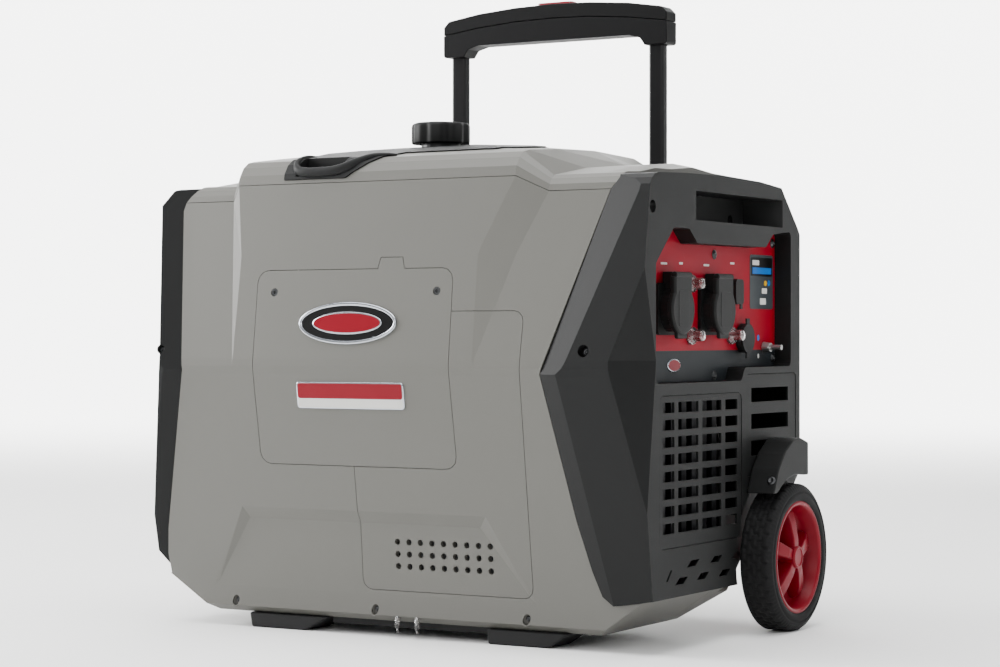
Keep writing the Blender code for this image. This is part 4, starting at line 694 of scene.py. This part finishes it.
class BuildPanelPrint(PieceOperator, bpy.types.Operator):
    """Add the plain label, the small marks and the screws of the control panel"""
    bl_idname = "generator.panel_print"
    bl_label = "Panel label and screws"

    def execute(self, context):
        thin = 0.3 * MM
        fields = [
            ("label_plate", rectangle(0.0986, 0.3490, 0.1594, 0.4085, 0.004), "film_slate", 1),
            ("label_header", rectangle(0.1015, 0.3850, 0.1565, 0.4055, 0.003), "film_black", 2),
            ("label_blue_bar", rectangle(0.1045, 0.3875, 0.1535, 0.3945, 0.001), "film_blue", 3),
            ("label_white_bar", rectangle(0.1045, 0.3970, 0.1215, 0.4025, 0.001), "film_white", 3),
            ("label_dot_yellow", oval(0.1390, 0.3775, 0.0035, 0.0030), "film_yellow", 2),
            ("label_dot_blue", oval(0.1480, 0.3780, 0.0032, 0.0032), "film_blue", 2),
            ("label_square_white", rectangle(0.1300, 0.3660, 0.1430, 0.3720, 0.001),
             "film_white", 2),
            ("label_square_pale", rectangle(0.1250, 0.3540, 0.1400, 0.3610, 0.001),
             "film_white", 2),
            ("mark_earth", oval(0.1210, 0.3175, 0.0028, 0.0034), "film_blue", 1),
            ("mark_earth_low", oval(0.1210, 0.2975, 0.0018, 0.0026), "film_white", 1),
        ]
        for number, (y, z, half) in enumerate(((-0.1090, 0.3935, 0.0070), (-0.0700, 0.3945, 0.0040),
                                               (-0.0100, 0.3940, 0.0065),
                                               (0.0540, 0.3975, 0.0050))):
            fields.append((f"mark_{number}", rectangle(y - half, z - 0.0011, y + half, z + 0.0011,
                                                       0.0008), "film_white", 1))
        for name, outline, key, level in fields:
            rings = [(0.0, -0.05 * MM), (0.0, level * thin - 0.1 * MM), (-0.1 * MM, level * thin)]
            piece(name, plate(outline, on_panel, rings), key, "body", smooth=False)
        # Each screw head sits on a flat black-oxide disc with a raised ring. The panel is not cut,
        # so the dark disc is painted shade standing in for the recess round the screw.
        for number, (y, z) in enumerate(((0.009, 0.4057), (0.158, 0.4220), (0.009, 0.2780),
                                         (0.159, 0.2950))):
            screw_and_painted_recess = [(0.0, -0.05 * MM), (0.0052, -0.05 * MM), (0.0052, 0.5 * MM),
                      (0.0046, 0.9 * MM), (0.0040, 0.4 * MM), (0.0040, 0.1 * MM),
                      (0.0034, 0.1 * MM), (0.0033, 1.6 * MM), (0.0024, 2.1 * MM),
                      (0.0014, 2.1 * MM), (0.0012, 0.9 * MM), (0.0, 0.9 * MM)]
            piece(f"panel_screw_{number}", turned(screw_and_painted_recess, (PANEL_X, y, z), (1, 0, 0), 32),
                  "oxide", "body")
        badge = oval(-0.0870, 0.2895, 0.0150, 0.0070)
        piece("panel_badge_rim", plate(badge, on_panel, [(0.0, -0.05 * MM), (0.0, 0.5 * MM),
                                                         (-0.0006, 0.9 * MM)]), "chrome", "body")
        piece("panel_badge_field", plate(grown(badge, -0.0014), on_panel,
                                         [(0.0, 0.3 * MM), (0.0, 1.05 * MM)]),
              "film_red", "body", smooth=False)
        return {"FINISHED"}


class BuildWheels(PieceOperator, bpy.types.Operator):
    """Build the treaded tyres and the five-spoke rims"""
    bl_idname = "generator.wheels"
    bl_label = "Wheels"

    def execute(self, context):
        for side, name in ((1, "right"), (-1, "left")):
            body = "wheel_" + name
            piece("tread_tyre_" + name, self.tyre(side), "tyre", body,
                  replaces=["tyre_" + name])
            self.rim(side, name, body)
        finish_node("axle", "zinc", edge=0.5 * MM)
        return {"FINISHED"}

    def tyre(self, side):
        around, columns = 384, 20
        start, stop = 0.0062, 0.0338
        across = [start + (stop - start) * k / (columns - 1) for k in range(columns)]
        low = [(0.0050, 0.0603), (0.0026, 0.0608), (0.0014, 0.0640), (0.0010, 0.0690),
               (0.0016, 0.0694), (0.0018, 0.0706), (0.0010, 0.0712), (0.0018, 0.0740),
               (0.0030, 0.0762), (0.0044, 0.0780), (0.0054, 0.0790)]
        high = [(0.0400 - t, r) for t, r in reversed(low)]
        bm = bmesh.new()
        rings = []
        depth = sizes().tread
        for t, r in [*low, *((t, None) for t in across), *high]:
            ring = []
            for k in range(around):
                radius = r
                if r is None:
                    column = round((t - start) / (stop - start) * (columns - 1))
                    band, step = divmod(column, 4)
                    crown = 0.0800 - 0.0006 * ((t - 0.020) / 0.0138) ** 2
                    turn = (k + 6 * (band % 2)) % 12
                    groove = turn < 2 or (step == 3 and column < columns - 1
                                          and (turn + 3 * band) % 6 < 4)
                    radius = crown - (depth if groove else 0.0)
                elif 0.0750 < r:
                    radius = r - (0.0006 if k % 4 < 2 else 0.0)
                angle = 2 * math.pi * k / around
                ring.append(bm.verts.new((side * (WHEEL_IN + t), HUB_Y + radius * math.cos(angle),
                                          HUB_Z + radius * math.sin(angle))))
            rings.append(ring)
        for first, second in zip(rings, [*rings[1:], rings[0]]):
            for k in range(around):
                after = (k + 1) % around
                bm.faces.new((first[k], first[after], second[after], second[k]))
        bmesh.ops.recalc_face_normals(bm, faces=bm.faces)
        return bm

    def rim(self, side, name, body):
        hub = Vector((0, HUB_Y, HUB_Z))
        out = Vector((side, 0, 0))
        outer = WHEEL_OUT
        barrel = [
            (0.0560, WHEEL_IN + 0.0050), (RIM_R - 0.0008, WHEEL_IN + 0.0050),
            (RIM_R, WHEEL_IN + 0.0058), (RIM_R, outer - 0.0052), (RIM_R + 0.0012, outer - 0.0044),
            (RIM_R + 0.0008, outer - 0.0026), (RIM_R - 0.0010, outer - 0.0020),
            (RIM_R - 0.0030, outer - 0.0024), (0.0555, outer - 0.0050), (0.0535, outer - 0.0180),
            (0.0515, WHEEL_IN + 0.0185), (0.0480, WHEEL_IN + 0.0165),
            (0.0150, WHEEL_IN + 0.0165), (0.0120, WHEEL_IN + 0.0165), (0.0066, WHEEL_IN + 0.0165),
            (0.0066, WHEEL_IN + 0.0020), (0.0140, WHEEL_IN + 0.0020),
            (0.0140, WHEEL_IN + 0.0135), (0.0550, WHEEL_IN + 0.0135), (0.0560, WHEEL_IN + 0.0125),
        ]
        shell = turned([*barrel, barrel[0]], hub, out, 96)
        piece("rim_shell_" + name, shell, "rim_red", body, replaces=["rim_" + name])
        for number in range(5):
            angle = math.radians(90 + 72 * number)
            away = Vector((0, math.cos(angle), math.sin(angle)))
            across = Vector((0, -math.sin(angle), math.cos(angle)))
            base = WHEEL_IN + 0.0155
            sections = [(0.0060, 0.0052, 0.0066, outer - 0.0050),
                        (0.0200, 0.0058, 0.0080, outer - 0.0056),
                        (0.0380, 0.0072, 0.0102, outer - 0.0092),
                        (0.0490, 0.0080, 0.0114, outer - 0.0130),
                        (0.0528, 0.0090, 0.0118, outer - 0.0215)]
            rings = []
            for reach, top, foot, height in sections:
                rings.append([hub + out * x + away * reach + across * half for x, half in (
                    (base, -foot), (height, -top), (height, top), (base, foot))])
            piece(f"rim_spoke_{name}_{number}", lofted(rings), "rim_red", body,
                  edge=sizes().rim_bevel)
        cap = [(0.0, WHEEL_IN + 0.0200), (0.0128, WHEEL_IN + 0.0200), (0.0122, outer - 0.0040),
               (0.0112, outer - 0.0026), (0.0098, outer - 0.0024), (0.0090, outer - 0.0034),
               (0.0, outer - 0.0034)]
        piece("rim_hub_" + name, turned(cap, hub, out, 48), "rim_red", body, edge=0.3 * MM)


class BuildHandle(PieceOperator, bpy.types.Operator):
    """Finish the telescopic handle and its release button"""
    bl_idname = "generator.handle"
    bl_label = "Handle"

    def execute(self, context):
        finish_node("handle_grip", "handle_black", edge=4.0 * MM, crease=4.0 * MM, segments=5)
        finish_node("handle_yoke", "handle_black", edge=2.5 * MM, crease=2.5 * MM, segments=4)
        for name in ("handle_tube_left", "handle_tube_right"):
            finish_node(name, "powder_coat", edge=0.4 * MM)
        for name in ("guide_tube_left", "guide_tube_right"):
            finish_node(name, "cast_alu", edge=0.3 * MM)
        finish_node("release_button", "abs_red", edge=1.2 * MM, segments=4)
        return {"FINISHED"}


class BuildFillerCap(PieceOperator, bpy.types.Operator):
    """Build the lobed fuel cap and finish its seal and the tank"""
    bl_idname = "generator.filler_cap"
    bl_label = "Fuel cap and tank"

    def execute(self, context):
        lobe = sizes().lobe

        def lobed(radius, along, angle):
            if radius < 0.028:
                return radius
            fade = min(1.0, max(0.0, (CAP_HIGH - CAP_LOW - 0.001 - along) / 0.004))
            return radius - lobe * (0.5 + 0.5 * fade) * (abs(math.cos(4 * angle)) ** 5)
        tall = CAP_HIGH - CAP_LOW
        profile = [
            (0.0248, 0.0), (CAP_R - 0.0016, 0.0), (CAP_R - 0.0004, 0.0008), (CAP_R, 0.0022),
            (CAP_R, tall - 0.0050), (CAP_R - 0.0006, tall - 0.0030),
            (CAP_R - 0.0022, tall - 0.0014), (0.0280, tall - 0.0008),
            (0.0240, tall - 0.0006), (0.0225, tall - 0.0016),
            (0.0200, tall - 0.0018), (0.0180, tall - 0.0002), (0.0, tall),
            (0.0, 0.0064), (0.0248, 0.0064), (0.0248, 0.0),
        ]
        cap = turned(profile, (CAP_X, 0, CAP_LOW), (0, 0, 1), 192, lobed)
        piece("filler_cap", cap, "nylon_black", "cap", replaces=["fuel_cap"])
        finish_node("fuel_cap_gasket", "rubber", edge=0.2 * MM)
        finish_node("fuel_tank", "pp_black", edge=1.5 * MM, segments=3)
        return {"FINISHED"}


class BuildBadges(PieceOperator, bpy.types.Operator):
    """Add the plain silver-rimmed badge and the red and white plate on the service cover"""
    bl_idname = "generator.badges"
    bl_label = "Badges"

    def execute(self, context):
        upper, lower = on_front(BADGE[1]), on_front(0.257)
        badge = oval(*BADGE, 0.0620, 0.0225, 96)
        rim = [(0.0, -0.2 * MM), (0.0, 1.0 * MM), (-0.0008, 1.9 * MM), (-0.0026, 2.1 * MM),
               (-0.0036, 1.2 * MM)]
        piece("badge_rim", plate(badge, upper, rim), "chrome", "service_door")
        field = oval(*BADGE, 0.0580, 0.0185, 96)
        piece("badge_field", plate(field, upper, [(0.0, 1.0 * MM), (0.0, 1.35 * MM)]),
              "film_black", "service_door", smooth=False)
        band = oval(*BADGE, 0.0440, 0.0120, 96)
        piece("badge_band", plate(band, upper, [(0.0, 1.2 * MM), (0.0, 1.8 * MM),
                                                (-0.0006, 2.1 * MM)]), "chrome", "service_door")
        centre = oval(*BADGE, 0.0422, 0.0102, 96)
        piece("badge_centre", plate(centre, upper, [(0.0, 1.6 * MM), (0.0, 2.25 * MM)]),
              "film_red", "service_door", smooth=False)
        outline = rectangle(-0.105, 0.2425, 0.031, 0.2710, 0.0045)
        piece("plate_rim", plate(outline, lower, [(0.0, -0.2 * MM), (0.0, 1.0 * MM),
                                                  (-0.0007, 1.5 * MM)]), "chrome", "service_door")
        for name, low, high, key in (("plate_red", 0.2535, 0.2695, "film_red"),
                                     ("plate_white", 0.2440, 0.2531, "film_white")):
            strip = rectangle(-0.1032, low, 0.0292, high, 0.0030)
            piece(name, plate(strip, lower, [(0.0, 1.2 * MM), (0.0, 1.6 * MM),
                                             (-0.0003, 1.75 * MM)]), key, "service_door",
                  smooth=False)
        return {"FINISHED"}


class BuildFasteners(PieceOperator, bpy.types.Operator):
    """Finish the service screws and add the drain tubes below the front edge"""
    bl_idname = "generator.fasteners"
    bl_label = "Screws and drain tubes"

    def execute(self, context):
        for name in ("left", "right"):
            finish_node("service_screw_" + name, "oxide", edge=0.2 * MM)
        for number, x in enumerate((0.0010, 0.0254)):
            path = [Vector((x, -0.1560, 0.0235)), Vector((x, -0.1600, 0.0215)),
                    Vector((x + 0.001, -0.1625, 0.0175)), Vector((x + 0.0015, -0.1632, 0.0120)),
                    Vector((x + 0.0015, -0.1632, 0.0065))]
            piece(f"drain_tube_{number}", tube(path, 0.0030, 0.0021), "clear_pvc", "body")
        return {"FINISHED"}


def smooth_path(points, steps):
    """The points joined by a curve that runs through them all."""
    made = []
    for k in range(len(points) - 1):
        a, b, c, d = (points[min(max(j, 0), len(points) - 1)] for j in (k - 1, k, k + 1, k + 2))
        for step in range(steps):
            t = step / steps
            made.append(0.5 * (2 * b + (c - a) * t + (2 * a - 5 * b + 4 * c - d) * t ** 2
                               + (3 * b - a - 3 * c + d) * t ** 3))
    return [*made, points[-1]]


def tube(path, outer, inner, steps=20):
    """An open-ended pipe along a path."""
    rings = []
    for radius, points in ((outer, path), (inner, list(reversed(path)))):
        for k, point in enumerate(points):
            ahead = points[min(k + 1, len(points) - 1)] - points[max(k - 1, 0)]
            turn = (ahead if radius == outer else -ahead).to_track_quat("Z", "X").to_matrix()
            rings.append([point + turn @ Vector((radius * math.cos(2 * math.pi * s / steps),
                                                 radius * math.sin(2 * math.pi * s / steps), 0))
                          for s in range(steps)])
    return lofted(rings, closed=True)


class BuildInnerParts(PieceOperator, bpy.types.Operator):
    """Finish the base tray, the feet and the machinery inside"""
    bl_idname = "generator.inner_parts"
    bl_label = "Base and inner parts"

    def execute(self, context):
        for key, edge, names in (
            ("powder_coat", 0.6 * MM, ("base_tray",)),
            ("rubber", 2.0 * MM, ("foot_left", "foot_right")),
            ("cast_alu", 0.8 * MM, ("engine_block", "cylinder_head", "muffler", "carburetor")),
            ("anodised", 0.8 * MM, ("inverter_module",)),
            ("zinc", 0.4 * MM, ("spark_plug", "crankshaft_rotor")),
            ("copper", 0.4 * MM, ("stator",)),
            ("pp_black", 0.6 * MM, ("air_box", "recoil_housing", "recoil_pulley")),
            ("nylon_black", 1.2 * MM, ("recoil_grip",)),
            ("abs_red", 0.8 * MM, ("engine_knob",)),
        ):
            for name in names:
                finish_node(name, key, edge=edge)
        return {"FINISHED"}


class BuildStage(PieceOperator, bpy.types.Operator):
    """Set the pale floor, the soft studio light and the camera"""
    bl_idname = "generator.stage"
    bl_label = "Stage, light and camera"

    def execute(self, context):
        bm = bmesh.new()
        # a floor that curves up into a backdrop far behind
        sweep = [(-9.0, 0.0), (7.0, 0.0)]
        sweep += [(7.0 + 3.0 * math.sin(a), 3.0 - 3.0 * math.cos(a))
                  for a in [math.radians(9 * k) for k in range(1, 11)]]
        sweep.append((10.0, 9.0))
        turn = Matrix.Rotation(math.radians(30.5), 3, "Z")
        rows = [[bm.verts.new(turn @ Vector((x, y, z))) for y, z in sweep] for x in (-12.0, 12.0)]
        for k in range(len(sweep) - 1):
            bm.faces.new((rows[0][k], rows[1][k], rows[1][k + 1], rows[0][k + 1]))
        mesh = bpy.data.meshes.new("studio_floor")
        bm.to_mesh(mesh)
        bm.free()
        mesh.polygons.foreach_set("use_smooth", [True] * len(mesh.polygons))
        floor = bpy.data.objects.new("studio_floor", mesh)
        bpy.context.scene.collection.objects.link(floor)
        # Matt studio paper, white with a very faint fibre mottle.
        paper, *parts = started("matt_studio_paper", 0.95, ior=1.45)
        grained(*parts, linear("#f4f4f3"), 0.004, 0.4, 2.0 * MM, 0.02 * MM)
        mesh.materials.append(paper)

        world = bpy.data.worlds.new("studio_sky")
        world.use_nodes = True
        sky = world.node_tree.nodes["Background"]
        sky.inputs["Color"].default_value = linear("#f7f9fb")
        sky.inputs["Strength"].default_value = 0.42
        bpy.context.scene.world = world
        for name, place, target, size, power in (
            ("overhead_softbox", (-0.2, -0.3, 3.2), (0, 0, 0.3), 3.2, 200.0),
            ("left_softbox", (-2.8, -0.9, 1.3), (-0.1, 0, 0.3), 1.6, 150.0),
            ("front_softbox", (0.9, -3.6, 1.9), (0, 0, 0.3), 2.0, 60.0),
            ("right_softbox", (3.0, 0.8, 1.6), (0.2, 0, 0.3), 1.4, 34.0),
            ("backdrop_left", (-5.4, 3.0, 4.6), (-6.2, 8.0, 1.0), 4.0, 1500.0),
            ("backdrop_right", (0.6, 6.2, 4.6), (-1.4, 11.0, 1.0), 4.0, 1500.0),
        ):
            light = bpy.data.lights.new(name, "AREA")
            light.shape, light.size, light.energy = "SQUARE", size, power
            lamp = bpy.data.objects.new(name, light)
            bpy.context.scene.collection.objects.link(lamp)
            lamp.location = place
            aim = Vector(target) - Vector(place)
            lamp.rotation_euler = aim.to_track_quat("-Z", "Y").to_euler()
        camera = bpy.data.cameras.new("camera")
        camera.lens, camera.sensor_width = 88.2, 36.0
        camera.clip_end = 60.0
        eye = bpy.data.objects.new("camera", camera)
        eye.location = (1.4094, -2.3382, 0.3222)
        eye.rotation_euler = (math.radians(90), 0, math.radians(30.5))
        bpy.context.scene.collection.objects.link(eye)
        bpy.context.scene.camera = eye
        return {"FINISHED"}


class GENERATOR_PT_build(bpy.types.Panel):
    """Lists the build steps, the sizes and the colours"""
    bl_label = "Generator"
    bl_idname = "GENERATOR_PT_build"
    bl_space_type = "VIEW_3D"
    bl_region_type = "UI"
    bl_category = "Generator"

    def draw(self, context):
        for operator in STEPS:
            self.layout.operator(operator.bl_idname)
        for group in (context.scene.generator_colours, context.scene.generator_sizes):
            for name in group.__annotations__:
                self.layout.prop(group, name)


STEPS = (BuildCovers, BuildEndFrames, BuildTopTray, BuildPanel, BuildPanelPrint, BuildWheels,
         BuildHandle, BuildFillerCap, BuildBadges, BuildFasteners, BuildInnerParts, BuildStage)
CLASSES = (GeneratorColours, GeneratorSizes, *STEPS, GENERATOR_PT_build)


def register():
    for cls in CLASSES:
        bpy.utils.register_class(cls)
    bpy.types.Scene.generator_colours = bpy.props.PointerProperty(type=GeneratorColours)
    bpy.types.Scene.generator_sizes = bpy.props.PointerProperty(type=GeneratorSizes)


def unregister():
    del bpy.types.Scene.generator_sizes
    del bpy.types.Scene.generator_colours
    for cls in reversed(CLASSES):
        bpy.utils.unregister_class(cls)


def main():
    register()
    MATERIALS.update(make_materials())
    for operator in STEPS:
        getattr(bpy.ops.generator, operator.bl_idname.split(".")[1])()


if __name__ == "__main__":
    main()
